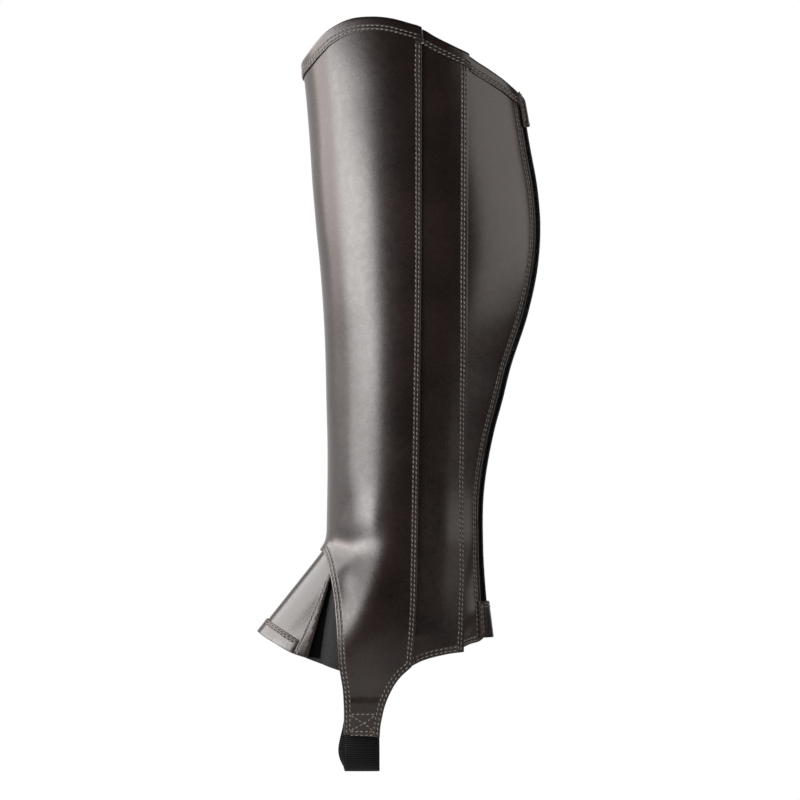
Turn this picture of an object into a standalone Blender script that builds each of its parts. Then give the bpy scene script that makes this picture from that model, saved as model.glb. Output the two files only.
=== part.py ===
# Half chap for the left leg in smooth brown leather: a legging from knee to ankle, with an elastic under
# the foot. Metres, +Z up. The shin faces -Y and the outer side of the leg +X. The origin is the middle of the
# calf hollow at its widest level.
#
# Each cut piece is an outline drawn round the leg, by angle (0 on the shin, +180 at the zip by the outer side,
# -180 by the inner side) and height. Depth is measured outwards from the outer face of a panel that lies flat
# on the leg form, so a panel is from -LEATHER to 0, and what lies on it starts at GAP.
# All sizes are in millimetres until a mesh is made.

import bpy
import bmesh
import numpy as np
from mathutils.geometry import delaunay_2d_cdt

MM = 0.001
GAP = 0.3
LEATHER = 1.5
BAND = 0.9
ELASTIC = 1.2
TAPE = 1.0

# Laps: a panel reaches LAP under the one before it, which climbs on to it over LAP_RAMP
LAP = 9.0
LAP_START = LAP + 0.5
LAP_RAMP = 7.0
SEAM_TURN = 0.2        # degrees between the top corners of neighbouring panels
HEM_CLEARANCE = 4.0    # how much higher a lapped margin starts than its panel's hem
BAND_WIDTH = 9.0
BAND_CLEARANCE = 10.5  # how much lower a lapped margin ends, so that the top band's inner leg passes it
BAND_ROUNDING = 0.3    # share of the band's thickness that its corners are cut by

# Spacing of the points inside a piece and along its edges
ANGLE_STEP = 9.0
HEIGHT_STEP = 14.0
CREASE_ROWS = (-232.0, -226.0, -218.0)
EDGE_STEP = 15.0
EDGE_CLEARANCE = 3.0
BEND_INSET = 3.0       # how far the ends of a bend stay inside the outline
MM_PER_DEGREE = 1.15

LEG_COLUMNS = ("height", "shin", "calf", "widest", "half_width")
LEG_SECTIONS = (
    (-400.0, -74.0, 48.0, -19.0, 31.0),
    (-367.0, -74.0, 46.5, -19.0, 34.0),
    (-330.0, -74.0, 45.0, -19.0, 38.0),
    (-295.0, -74.0, 43.0, -19.0, 40.5),
    (-230.0, -74.0, 39.0, -18.5, 38.5),
    (-185.0, -73.4, 40.0, -17.0, 37.5),
    (-145.0, -73.4, 46.9, -13.0, 38.5),
    (-124.0, -73.7, 52.6, -10.0, 39.4),
    (-102.0, -74.2, 57.9, -7.0, 40.5),
    (-60.0, -76.2, 71.2, -1.0, 42.5),
    (-30.0, -78.3, 77.7, 2.0, 43.5),
    (0.0, -81.3, 79.8, 3.0, 44.5),
    (27.0, -83.5, 77.9, 2.0, 45.0),
    (60.0, -85.7, 72.1, -1.0, 45.5),
    (90.0, -88.3, 67.0, -4.0, 45.5),
    (120.0, -91.2, 60.5, -7.0, 45.5),
    (165.0, -93.5, 51.0, -11.0, 45.0),
)

# The instep: below the crease the front of the form runs forward
CREASE_HEIGHT = -225.7
INSTEP_SLOPE = 0.784
CREASE_ROUNDING = 2.6
WIDEST_SHARE = 0.25    # how much of the instep's reach the widest line follows

# Largest folds: a soft ridge (depth above 0) or trough, long one way and narrow the other
FOLD_COLUMNS = ("angle", "height", "half_length", "half_width", "tilt", "depth")
FOLDS = (
    (44.0, -220.0, 18.0, 7.0, -12.0, -1.5),
    (55.0, -233.0, 17.0, 7.0, -18.0, 1.2),
    (148.0, -252.0, 16.0, 6.0, 80.0, -0.7),
    (86.0, -334.0, 18.0, 6.0, 8.0, -0.8),
    (-38.0, -218.0, 18.0, 7.0, 14.0, -1.4),
    (-56.0, -231.0, 18.0, 7.0, 22.0, 1.1),
    (-132.0, -252.0, 18.0, 6.0, -80.0, -0.9),
    (-84.0, -336.0, 16.0, 6.0, -10.0, -0.8),
)

# Top line: highest at the outer front, low on the inner side
TOP_COLUMNS = ("angle", "height")
TOP_LINE = (
    (-180.0, 96.0), (-165.0, 97.2), (-150.0, 98.4), (-120.0, 101.0), (-90.0, 104.0), (-60.0, 107.3),
    (-30.0, 111.3), (0.0, 117.0), (8.0, 119.4), (16.0, 122.6), (24.0, 127.4), (32.0, 133.5), (40.0, 139.7),
    (46.0, 143.3), (52.0, 146.4), (58.5, 148.5), (65.0, 149.2), (72.0, 149.0), (78.0, 147.8), (86.0, 144.6),
    (94.2, 140.8), (101.0, 135.9), (108.0, 131.6), (114.0, 128.1), (120.5, 124.4), (127.5, 119.3),
    (134.0, 115.3), (140.5, 111.4), (147.5, 107.5), (155.0, 103.2), (166.0, 98.3), (180.0, 93.0),
)
STEP_DROPS = {"side_strip": 1.2, "calf_panel_outer": 2.2, "calf_panel_inner": 1.2}   # below the top line
MOUTH_AT_ZIP = 97.0

# Edges by their place from front to back in side view. The outer and inner sides mirror each other
EDGE_COLUMNS = ("height", "place")
FRONT_SEAM = (
    (-314.7, -12.7), (-284.9, -10.3), (-238.2, -8.9), (-175.6, -7.8), (-68.4, -6.1), (143.0, -5.4),
)
REAR_SEAM = (
    (-304.2, 24.0), (-281.3, 24.4), (-173.8, 24.8), (-117.0, 26.3), (-23.7, 27.3), (143.3, 27.2),
)
VEE_EDGE = (
    (-363.4, -61.0), (-342.1, -61.2), (-329.7, -62.0), (-317.7, -63.8), (-296.6, -65.5), (-280.0, -66.8),
    (-263.6, -68.5), (-248.4, -71.3), (-234.6, -75.4),
)
VEE_APEX = -231.6
FLAP_EDGE = ((-308.2, -87.8), (-279.1, -79.7), (-249.7, -71.7))

# Lower edges, from front to back, by height and place
TAB_AND_ARCH = (
    (-365.2, -35.4), (-359.8, -35.2), (-349.2, -33.4), (-344.2, -32.2), (-333.4, -27.9), (-325.6, -23.6),
    (-320.5, -19.3), (-316.7, -15.0), (-314.5, -12.7),
)
STRIP_HEM = ((-314.5, -12.7), (-311.2, -6.5), (-309.0, -0.5), (-307.0, 7.0), (-305.4, 15.0), (-304.4, 24.0))
CALF_HEM = ((-301.6, 24.1), (-299.3, 28.9), (-296.9, 36.6))

# Instep flap by angle, the same on both sides: its lower edge, and the margin that is sewn under the vee
FLAP_COLUMNS = ("angle", "height")
FLAP_HEM = (
    (0.0, -289.7), (10.0, -290.4), (22.0, -292.9), (37.0, -298.1), (45.0, -302.0), (52.0, -305.6),
    (59.2, -308.6),
)
FLAP_MARGIN = ((0.0, -220.0), (20.0, -225.0), (34.0, -234.0), (41.0, -241.5))
FLAP_EDGE_TOP = -243.0
HEM_BAND_WIDTH = 9.4
HEM_BAND_POINTS = 13
TRIM_GAP = 1.2         # between the hem band and the edging, across the slit
EDGING_LIFT = 0.4      # how much higher the edging's front corner starts than the flap's hem
EDGING_TOP = -253.5
EDGING_WIDTHS = ((-309.0, 8.5), (-250.0, 3.0))      # by height
BACKING_MARGINS = ((-309.0, 6.0), (-250.0, 1.2))    # how far the backing shows behind the flap, by height

# Elastic wedges beside the flap
GUSSET_TOP = -251.0
GUSSET_HEM = ((52.6, -305.4), (66.0, -312.4), (81.0, -320.7))
GUSSET_TUCK = 6.0              # how far the elastic reaches under its neighbours
GUSSET_RAMP = (0.8, 6.0)       # behind the backing, where the elastic comes up to the shin panel
GUSSET_BEND_LOW = -306.5

# Zip, by its distance from the middle of the back
ZIP_EDGE = 13.0        # where the leather stops on each side
ZIP_BOTTOM = -295.0
TAPE_REACH = 17.0
TAPE_SHOULDER_REACH = 12.4
TAPE_TOP, TAPE_SHOULDER, TAPE_BOTTOM = 94.5, 85.0, -293.0
COIL_HALF_WIDTH = 3.0
COIL_TOP, COIL_BOTTOM = 80.0, -290.5
COIL_DEPTH = 0.6
SLIDER_HALF_WIDTH = 4.5
SLIDER_BOTTOM, SLIDER_TOP = 80.4, 90.5
PULL_HALF_WIDTH = 2.5
PULL_BOTTOM, PULL_TOP = 73.0, 87.0
PULL_THICKNESS = 0.5

# Leather guard over the top of the zip, and the tab over its lower end
GUARD_THICKNESS = 1.0
GUARD_HALF_WIDTH = 12.5
GUARD_WING = 17.5      # its reach on the inner calf panel, where it is sewn
GUARD_CORNER = 3.0
GUARD_BOTTOM, GUARD_BEND_ROW, GUARD_WING_TOP, GUARD_TOP = 72.5, 80.0, 86.6, 97.8
GUARD_RAMP = (4.5, 10.0)
GUARD_CURL_START, GUARD_CURL = 90.8, 2.4
HEEL_BOTTOM, HEEL_TOP = -294.6, -268.5
HEEL_HALF_WIDTH = 17.0
HEEL_THICKNESS = 1.3
HEEL_FLARE = 1.2
HEEL_RAMP = (4.0, 10.0)

# Foot elastic
STRAP_FRONT, STRAP_BACK = -60.9, -35.5
STRAP_TOP, STRAP_BOTTOM = -346.0, -390.0
STRAP_CORNER = 15.0
STRAP_BOW = 4.7        # how far forward its inner run bows
STRAP_ROWS = 5
CORNER_TURNS = 7
TAB_BOTTOM = -364.2

# Outer faces of what lies deeper than the panels
FLAP_DEPTH = -LEATHER - GAP
BACKING_DEPTH = FLAP_DEPTH - LEATHER - GAP
GUSSET_DEPTH = BACKING_DEPTH - TAPE - GAP
TAPE_DEPTH = -LEATHER - GAP
STRAP_DEPTH = -LEATHER - GAP


def column(table, columns, name):
    return np.array([row[columns.index(name)] for row in table], float)


def smooth(value, known, results):
    """Cubic curve through the given points, straight on past its ends."""
    value = np.asarray(value, float)
    slopes = np.gradient(results, known)
    i = np.clip(np.searchsorted(known, value) - 1, 0, len(known) - 2)
    span = known[i + 1] - known[i]
    t = (value - known[i]) / span
    inside = (
        (1 + 2 * t) * (1 - t) ** 2 * results[i] + t * (1 - t) ** 2 * span * slopes[i]
        + t * t * (3 - 2 * t) * results[i + 1] + t * t * (t - 1) * span * slopes[i + 1]
    )
    before = results[0] + slopes[0] * (value - known[0])
    after = results[-1] + slopes[-1] * (value - known[-1])
    return np.where(value < known[0], before, np.where(value > known[-1], after, inside))


def soft_step(value, low, high):
    t = np.clip((value - low) / (high - low), 0, 1)
    return t * t * (3 - 2 * t)


def looked_up(value, table, columns, name):
    return smooth(value, column(table, columns, columns[0]), column(table, columns, name))


def leg_size(height, name):
    return looked_up(height, LEG_SECTIONS, LEG_COLUMNS, name)


def section(height):
    """Front, back, widest place and half width of the leg form at a height."""
    instep = INSTEP_SLOPE * CREASE_ROUNDING * np.logaddexp(0, (CREASE_HEIGHT - height) / CREASE_ROUNDING)
    front = leg_size(height, "shin") - instep
    widest = leg_size(height, "widest") - WIDEST_SHARE * instep
    return front, leg_size(height, "calf"), widest, leg_size(height, "half_width")


def plain_form(angle, height):
    """The leg form without folds: two half ellipses that meet at the widest place."""
    front, back, widest, half_width = section(height)
    turn = np.radians(angle)
    forward = np.cos(turn)
    reach = np.where(forward > 0, widest - front, back - widest)
    return np.stack([half_width * np.sin(turn), widest - reach * forward, height], axis=-1)


def outward(form, angle, height):
    step = 0.2
    across = form(angle + step, height) - form(angle - step, height)
    up = form(angle, height + step) - form(angle, height - step)
    normal = np.cross(across, up)
    return normal / np.linalg.norm(normal, axis=-1, keepdims=True)


def fold_depth(angle, height):
    total = np.zeros(np.shape(angle))
    for row in FOLDS:
        fold = dict(zip(FOLD_COLUMNS, row))
        over = (angle - fold["angle"]) * MM_PER_DEGREE
        up = height - fold["height"]
        turn = np.radians(fold["tilt"])
        along = (over * np.cos(turn) + up * np.sin(turn)) / fold["half_length"]
        across = (up * np.cos(turn) - over * np.sin(turn)) / fold["half_width"]
        total = total + fold["depth"] * np.exp(-along ** 2 - across ** 2)
    return total


def folded_form(angle, height):
    depth = fold_depth(angle, height)[..., None]
    return plain_form(angle, height) + outward(plain_form, angle, height) * depth


def leg_points(angle, height, depth):
    angle, height, depth = np.broadcast_arrays(np.asarray(angle, float), height, depth)
    return folded_form(angle, height) + outward(folded_form, angle, height) * depth[..., None]


# Places on the leg form
def angle_at(place, height, side=1):
    """Angle round the leg of a point given by its place from front to back."""
    front, back, widest, _ = section(height)
    ahead = np.degrees(np.arccos(np.clip((widest - place) / (widest - front), -1, 1)))
    behind = 90 + np.degrees(np.arcsin(np.clip((place - widest) / (back - widest), -1, 1)))
    return side * np.where(place < widest, ahead, behind)


def edge_angle(edge, height, side=1):
    return angle_at(looked_up(height, edge, EDGE_COLUMNS, "place"), height, side)


def zip_angle(distance, height):
    """Angle of a point this far from the middle of the back, past 180 on the inner side."""
    return 180 - np.degrees(np.arcsin(distance / leg_size(height, "half_width")))


def zip_distance(angle, height):
    return leg_size(height, "half_width") * np.abs(np.sin(np.radians(angle)))


def top_height(angle):
    return looked_up(angle, TOP_LINE, TOP_COLUMNS, "height")


def seam_top(edge, side=1):
    """Angle and height where an edge meets the top line."""
    height = MOUTH_AT_ZIP
    for _ in range(12):
        angle = float(edge_angle(edge, height, side))
        height = float(top_height(angle))
    return angle, height


def by_height(pairs, height):
    heights, values = zip(*pairs)
    return np.interp(height, heights, values)


# Lines that outlines are made of
def grid_rows(low, high):
    """The grid's heights, closer together where the form bends at the crease."""
    even = np.arange(np.ceil(low / HEIGHT_STEP), high / HEIGHT_STEP) * HEIGHT_STEP
    rows = np.sort(np.concatenate([even, CREASE_ROWS]))
    return rows[(rows > low) & (rows < high)]


def levels(low, high):
    """Two heights and the grid's rows between them, so that neighbours bend at the same levels."""
    rows = grid_rows(low, high)
    between = rows[(rows > low + 0.2 * HEIGHT_STEP) & (rows < high - 0.2 * HEIGHT_STEP)]
    return np.concatenate([[low], between, [high]])


def up_edge(edge, low, high, side=1, shift=0.0):
    """Points up an edge from one height to another, moved round the leg by shift in millimetres."""
    heights = levels(low, high)
    angles = edge_angle(edge, heights, side) + side * shift / MM_PER_DEGREE
    return list(zip(angles, heights))


def up_zip(distance, low, high, side=1):
    heights = levels(low, high)
    return list(zip(side * zip_angle(distance, heights), heights))


def along_hem(hem, side=1):
    heights = column(hem, EDGE_COLUMNS, "height")
    return list(zip(angle_at(column(hem, EDGE_COLUMNS, "place"), heights, side), heights))


def spread(start, end, knots=()):
    """Even angles from start to end, that give way to the knots between them."""
    even = np.linspace(start, end, max(2, int(abs(end - start) / ANGLE_STEP) + 1))
    apart = [angle for angle in even if all(abs(angle - knot) > 0.3 * ANGLE_STEP for knot in knots)]
    return np.array(sorted(apart + list(knots), reverse=bool(end < start)))


def along_top(start, end, drop=0.0, knots=()):
    angles = spread(start, end, knots)
    return list(zip(angles, top_height(angles) - drop))


# Cut pieces
def resampled(outline):
    """The outline with long sides divided."""
    points = []
    for start, end in zip(outline, outline[1:] + outline[:1]):
        start, end = np.array(start), np.array(end)
        length = np.hypot(*((end - start) * (MM_PER_DEGREE, 1)))
        pieces = max(1, int(np.ceil(length / EDGE_STEP)))
        points += [tuple(start + (end - start) * i / pieces) for i in range(pieces)]
    return points


def distance_to(points, polyline):
    nearest = np.full(len(points), np.inf)
    for start, end in zip(polyline, np.roll(polyline, -1, axis=0)):
        side = end - start
        t = np.clip(((points - start) @ side) / max(side @ side, 1e-9), 0, 1)
        nearest = np.minimum(nearest, np.linalg.norm(points - start - t[:, None] * side, axis=1))
    return nearest


def cut_piece(outline, bends):
    """Triangles that fill an outline: its own points, the bends, and one grid that all pieces share."""
    flat = np.array(resampled(outline)) * (MM_PER_DEGREE, 1)
    low, high = flat.min(axis=0), flat.max(axis=0)
    across = ANGLE_STEP * MM_PER_DEGREE
    columns = np.arange(np.ceil(low[0] / across), high[0] / across) * across
    grid = np.array([(x, y) for x in columns for y in grid_rows(low[1], high[1])]).reshape(-1, 2)
    grid = grid[distance_to(grid, flat) > EDGE_CLEARANCE]
    edges = [(i, (i + 1) % len(flat)) for i in range(len(flat))]
    lines = [np.array(bend) * (MM_PER_DEGREE, 1) for bend in bends]
    first = len(flat)
    for line in lines:
        edges += [(first + i, first + i + 1) for i in range(len(line) - 1)]
        grid = grid[distance_to(grid, line) > EDGE_CLEARANCE]
        first += len(line)
    everything = np.vstack([flat, *lines, grid])
    points, _, faces, _, _, _ = delaunay_2d_cdt([tuple(p) for p in everything], edges, [], 1, 1e-5)
    used = sorted({i for face in faces for i in face})
    number = {old: new for new, old in enumerate(used)}
    points = np.array([tuple(points[i]) for i in used]) / (MM_PER_DEGREE, 1)
    return points, [tuple(number[i] for i in face) for face in faces]


def material(name, colour, roughness, metallic=0.0):
    made = bpy.data.materials.get(name) or bpy.data.materials.new(name)
    made.use_nodes = True
    shader = made.node_tree.nodes["Principled BSDF"]
    shader.inputs["Base Color"].default_value = (*colour, 1)
    shader.inputs["Roughness"].default_value = roughness
    shader.inputs["Metallic"].default_value = metallic
    return made


def brown_leather():
    return material("brown_leather", (0.035, 0.024, 0.021), 0.35)


def black_cloth():
    return material("black_cloth", (0.012, 0.012, 0.012), 0.9)


def grey_elastic():
    return material("grey_elastic", (0.04, 0.04, 0.04), 0.85)


def black_elastic():
    return material("black_elastic", (0.012, 0.012, 0.013), 0.7)


def black_coil():
    return material("black_coil", (0.01, 0.01, 0.01), 0.4)


def dark_metal():
    return material("dark_metal", (0.12, 0.12, 0.12), 0.35, 1.0)


def add_object(name, points, faces, finish):
    mesh = bpy.data.meshes.new(name)
    mesh.from_pydata([tuple(p) for p in np.asarray(points) * MM], [], faces)
    shape = bmesh.new()
    shape.from_mesh(mesh)
    bmesh.ops.recalc_face_normals(shape, faces=shape.faces)
    bmesh.ops.triangulate(shape, faces=shape.faces)
    shape.to_mesh(mesh)
    shape.free()
    mesh.materials.append(finish)
    made = bpy.data.objects.new(name, mesh)
    bpy.context.collection.objects.link(made)


def sheet_piece(name, outline, inner, outer, finish, bends=()):
    """A wall between two depths over an outline. A depth is a number or a function of angle and height."""
    flat, faces = cut_piece(outline, bends)
    angle, height = flat[:, 0], flat[:, 1]
    depths = [d(angle, height) if callable(d) else np.full(len(flat), d) for d in (inner, outer)]
    count = len(flat)
    points = np.vstack([leg_points(angle, height, depth) for depth in depths])
    sides = {(a, b) for face in faces for a, b in zip(face, face[1:] + face[:1])}
    rim = sorted((a, b) for a, b in sides if (b, a) not in sides)
    walls = [(a, b, b + count, a + count) for a, b in rim]
    shell = [face[::-1] for face in faces] + [tuple(i + count for i in face) for face in faces]
    add_object(name, points, shell + walls, finish)


def swept_piece(name, rings, finish):
    """A closed solid through rings of equal size."""
    size = len(rings[0])
    faces = [tuple(range(size)), tuple(range((len(rings) - 1) * size, len(rings) * size))[::-1]]
    for ring in range(len(rings) - 1):
        for i in range(size):
            a, b = ring * size + i, ring * size + (i + 1) % size
            faces.append((a, b, b + size, a + size))
    add_object(name, np.vstack(rings), faces, finish)


# Depth of each lapped panel: it lies on the leg form, and climbs on to the panel under its edge
def lap_rise(edge, side):
    def rise(angle, height):
        before_edge = (edge_angle(edge, height, side) - angle) * side * MM_PER_DEGREE
        return (LEATHER + GAP) * (1 - soft_step(before_edge, LAP_START, LAP_START + LAP_RAMP))
    return rise


def lap_bends(edge, low, side=1):
    """Where a panel starts and ends its climb on to the one under it."""
    top = seam_top(edge, side)[1] - BEND_INSET
    return [up_edge(edge, low + BEND_INSET, top, side, -LAP_START - ramp) for ramp in (0.0, LAP_RAMP)]


def lap_knots(edge, side=1):
    """Angles of those bends at the top line."""
    return [seam_top(edge, side)[0] - side * (LAP_START + ramp) / MM_PER_DEGREE for ramp in (0.0, LAP_RAMP)]


def shin_rise(angle, height):
    outer, inner = lap_rise(FRONT_SEAM, 1), lap_rise(FRONT_SEAM, -1)
    return np.where(np.asarray(angle) > 0, outer(angle, height), inner(angle, height))


strip_rise = lap_rise(REAR_SEAM, 1)


def flat_rise(angle, height):
    return np.zeros(np.shape(angle))


def panel(name, outline, rise, bends):
    sheet_piece(name, outline, lambda a, h: rise(a, h) - LEATHER, rise, brown_leather(), bends)


# Panels
def shin_panel():
    outer_angle, outer_top = seam_top(FRONT_SEAM)
    inner_angle, inner_top = seam_top(FRONT_SEAM, -1)
    seam_low = TAB_AND_ARCH[-1][0]

    def half(side, seam_height):
        down_seam = up_edge(FRONT_SEAM, seam_low, seam_height, side)[::-1]
        arch = along_hem(TAB_AND_ARCH, side)[::-1]
        vee = up_edge(VEE_EDGE, VEE_EDGE[0][0], VEE_EDGE[-1][0], side)
        return down_seam + arch[1:] + vee

    outer, inner = half(1, outer_top), half(-1, inner_top)
    top = along_top(inner_angle, outer_angle, 0.0, lap_knots(FRONT_SEAM) + lap_knots(FRONT_SEAM, -1))
    outline = top[:-1] + outer + [(0.0, VEE_APEX)] + inner[::-1][:-1]
    bends = lap_bends(FRONT_SEAM, seam_low) + lap_bends(FRONT_SEAM, seam_low, -1)
    panel("shin_panel", outline, shin_rise, bends)


def lapped_outline(edge, side, rest, hem, drop):
    """A panel whose front margin reaches LAP under another panel, and ends lower there."""
    corner_angle, corner_height = seam_top(edge, side)
    corner_angle += side * SEAM_TURN
    corner_height -= drop
    margin_top = corner_height - BAND_CLEARANCE
    margin = up_edge(edge, hem[0][1] + HEM_CLEARANCE, margin_top, side, -LAP)
    return margin + [(corner_angle, margin_top), (corner_angle, corner_height)] + rest + hem[::-1]


def side_strip():
    drop = STEP_DROPS["side_strip"]
    rear_angle, rear_height = seam_top(REAR_SEAM)
    top = along_top(seam_top(FRONT_SEAM)[0] + SEAM_TURN, rear_angle, drop, lap_knots(REAR_SEAM))
    down = up_edge(REAR_SEAM, STRIP_HEM[-1][0], rear_height - drop)[::-1]
    outline = lapped_outline(FRONT_SEAM, 1, top[1:-1] + down[:-1], along_hem(STRIP_HEM), drop)
    panel("side_strip", outline, strip_rise, lap_bends(REAR_SEAM, STRIP_HEM[-1][0]))


def calf_panel(name, edge, side, hem):
    drop = STEP_DROPS[name]
    zip_corner = side * float(zip_angle(ZIP_EDGE, MOUTH_AT_ZIP))
    top = along_top(seam_top(edge, side)[0] + side * SEAM_TURN, zip_corner, drop)
    down = up_zip(ZIP_EDGE, ZIP_BOTTOM, top[-1][1], side)[::-1]
    outline = lapped_outline(edge, side, top[1:-1] + down[:-1], along_hem(hem, side) + down[-1:], drop)
    over_tape = up_zip(TAPE_REACH, ZIP_BOTTOM + BEND_INSET, top[-1][1] - BEND_INSET, side)
    panel(name, outline, flat_rise, [over_tape])


def top_band(name, start, end, rise, drop, knots=()):
    """The binding folded over a panel's top edge: outer leg, fold and inner leg."""
    outer, inner = GAP, -LEATHER - GAP
    cut = BAND_ROUNDING * BAND
    rings = []
    for angle in spread(start, end, knots):
        slope = (top_height(angle + 0.5) - top_height(angle - 0.5)) / MM_PER_DEGREE
        stretch = np.hypot(1, slope)
        edge = float(top_height(angle)) - drop
        low, fold = edge - BAND_WIDTH * stretch, edge + GAP * stretch
        ring = (
            (outer + BAND, low), (outer + BAND, fold + cut), (outer + cut, fold + BAND),
            (inner - cut, fold + BAND), (inner - BAND, fold + cut), (inner - BAND, low),
            (inner, low), (inner, fold), (outer, fold), (outer, low),
        )
        rings.append([leg_points(angle, height, depth + rise(angle, height)) for depth, height in ring])
    swept_piece(name, [np.array(ring) for ring in rings], brown_leather())


def top_bands():
    outer_front, outer_rear = seam_top(FRONT_SEAM)[0], seam_top(REAR_SEAM)[0]
    inner_front = seam_top(FRONT_SEAM, -1)[0]
    zip_corner = float(zip_angle(ZIP_EDGE, MOUTH_AT_ZIP))
    clear = 1.2 * GAP / MM_PER_DEGREE + 0.05
    shin_knots = lap_knots(FRONT_SEAM) + lap_knots(FRONT_SEAM, -1)
    strip_drop, outer_drop, inner_drop = STEP_DROPS.values()
    top_band("top_band_shin", inner_front, outer_front, shin_rise, 0.0, shin_knots)
    strip_knots = lap_knots(REAR_SEAM)
    top_band("top_band_strip", outer_front + clear, outer_rear, strip_rise, strip_drop, strip_knots)
    top_band("top_band_calf_outer", outer_rear + clear, zip_corner, flat_rise, outer_drop)
    top_band("top_band_calf_inner", inner_front - clear, -zip_corner, flat_rise, inner_drop)


# Instep flap and its trim
def flap_hem_height(angle):
    return looked_up(np.abs(angle), FLAP_HEM, FLAP_COLUMNS, "height")


def flap_rear(side, low, high, insets=((0.0, 0.0),)):
    """Points up the flap's rear edge, moved in by a width for each height."""
    heights = levels(low, high)
    angles = edge_angle(FLAP_EDGE, heights, side) - side * by_height(insets, heights) / MM_PER_DEGREE
    return list(zip(angles, heights))


def outset(margins, past=0.0):
    return [(height, -width - past) for height, width in margins]


def flap_outline(insets=((0.0, 0.0),)):
    def half(side):
        margin = [(side * angle, height) for angle, height in FLAP_MARGIN[1:]]
        rear = flap_rear(side, FLAP_HEM[-1][1], FLAP_EDGE_TOP, insets)[::-1]
        hem = [(side * angle, height) for angle, height in FLAP_HEM[1:-1]][::-1]
        return margin + rear + hem

    return [FLAP_MARGIN[0]] + half(1) + [FLAP_HEM[0]] + half(-1)[::-1]


def instep_flap():
    sheet_piece("instep_flap", flap_outline(), FLAP_DEPTH - LEATHER, FLAP_DEPTH, brown_leather())
    backing = flap_outline(outset(BACKING_MARGINS))
    sheet_piece("flap_backing", backing, BACKING_DEPTH - TAPE, BACKING_DEPTH, black_cloth())


def flap_trim():
    """Leather strips on the flap: one down each rear edge, and a band along the hem between them."""
    on = FLAP_DEPTH + GAP
    low = FLAP_HEM[-1][1]
    front = float(edge_angle(FLAP_EDGE, low)) - by_height(EDGING_WIDTHS, low) / MM_PER_DEGREE
    for side, name in ((1, "flap_edging_outer"), (-1, "flap_edging_inner")):
        rear = flap_rear(side, low, EDGING_TOP)
        ahead = flap_rear(side, float(flap_hem_height(front)) + EDGING_LIFT, EDGING_TOP, EDGING_WIDTHS)
        sheet_piece(name, rear + ahead[::-1], on, on + BAND, brown_leather())
    end = front - TRIM_GAP / MM_PER_DEGREE
    angles = np.linspace(-end, end, HEM_BAND_POINTS)
    lower = list(zip(angles, flap_hem_height(angles)))
    upper = list(zip(angles, flap_hem_height(angles) + HEM_BAND_WIDTH))
    sheet_piece("flap_hem_band", lower + upper[::-1], on, on + BAND, brown_leather())


def gussets():
    """Elastic wedges: deep under the flap, and close under the shin panel behind it."""
    def rise(angle, height):
        behind = (np.abs(angle) - edge_angle(FLAP_EDGE, height)) * MM_PER_DEGREE
        past_backing = behind - by_height(BACKING_MARGINS, height)
        return GUSSET_DEPTH + (FLAP_DEPTH - GUSSET_DEPTH) * soft_step(past_backing, *GUSSET_RAMP)

    for side, name in ((1, "gusset_outer"), (-1, "gusset_inner")):
        front = flap_rear(side, GUSSET_HEM[0][1], GUSSET_TOP, ((0.0, GUSSET_TUCK),))
        rear = up_edge(VEE_EDGE, GUSSET_HEM[-1][1], GUSSET_TOP, side, GUSSET_TUCK)
        hem = [(side * angle, height) for angle, height in GUSSET_HEM]
        bends = [
            flap_rear(side, GUSSET_BEND_LOW, GUSSET_TOP, outset(BACKING_MARGINS, past))
            for past in GUSSET_RAMP
        ]
        outline = front[1:] + [bend[-1] for bend in bends] + rear[::-1][:-1] + hem[::-1]
        sheet_piece(name, outline, lambda a, h: rise(a, h) - ELASTIC, rise, grey_elastic(), bends)


def foot_strap():
    """A flat elastic loop, up behind both tabs and flat where the arch rests on it."""
    places = np.linspace(STRAP_FRONT, STRAP_BACK, STRAP_ROWS)

    def behind_tab(height, depth):
        return leg_points(angle_at(places, np.full(STRAP_ROWS, height)), height, depth)

    def run(side, bow):
        pairs = [
            (behind_tab(height, STRAP_DEPTH), behind_tab(height, STRAP_DEPTH - ELASTIC))
            for height in np.linspace(STRAP_TOP, TAB_BOTTOM, 4)
        ]
        outer, inner = pairs[-1]
        for turn in np.radians(np.linspace(0, 90, CORNER_TURNS)):
            out = outer.copy()
            out[:, 0] -= STRAP_CORNER * (1 - np.cos(turn))
            out[:, 1] = places
            out[:, 2] = STRAP_BOTTOM + STRAP_CORNER * (1 - np.sin(turn))
            into = out.copy()
            into[:, 0] -= (outer - inner)[:, 0] * np.cos(turn)
            into[:, 2] += ELASTIC * np.sin(turn)
            pairs.append((out, into))
        rings = [np.vstack([out, into[::-1]]) * (side, 1, 1) for out, into in pairs]
        for ring in rings:
            fall = (STRAP_TOP - ring[:, 2]) / (STRAP_TOP - STRAP_BOTTOM)
            ring[:, 1] -= bow * np.sin(np.pi * fall ** 2)
        return rings

    swept_piece("foot_strap", run(1, 0.0) + run(-1, STRAP_BOW)[::-1], black_elastic())


# Zip
def zip_tapes():
    for side, name in ((1, "zip_tape_outer"), (-1, "zip_tape_inner")):
        inside = up_zip(GAP / 2, TAPE_BOTTOM, TAPE_TOP, side)
        outside = up_zip(TAPE_REACH, TAPE_BOTTOM, TAPE_SHOULDER, side)
        shoulder = [(side * float(zip_angle(TAPE_SHOULDER_REACH, z)), z) for z in (TAPE_TOP, TAPE_SHOULDER)]
        outline = inside + shoulder + outside[::-1]
        sheet_piece(name, outline, TAPE_DEPTH - TAPE, TAPE_DEPTH, black_cloth())


def across_zip(places, height):
    return [(float(zip_angle(place, height)), height) for place in places]


def zip_piece(name, half_width, low, high, inner, outer, finish):
    up, down = up_zip(half_width, low, high), up_zip(-half_width, low, high)[::-1]
    outline = up + across_zip((0.0,), high) + down + across_zip((0.0,), low)
    sheet_piece(name, outline, inner, outer, finish)


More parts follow.
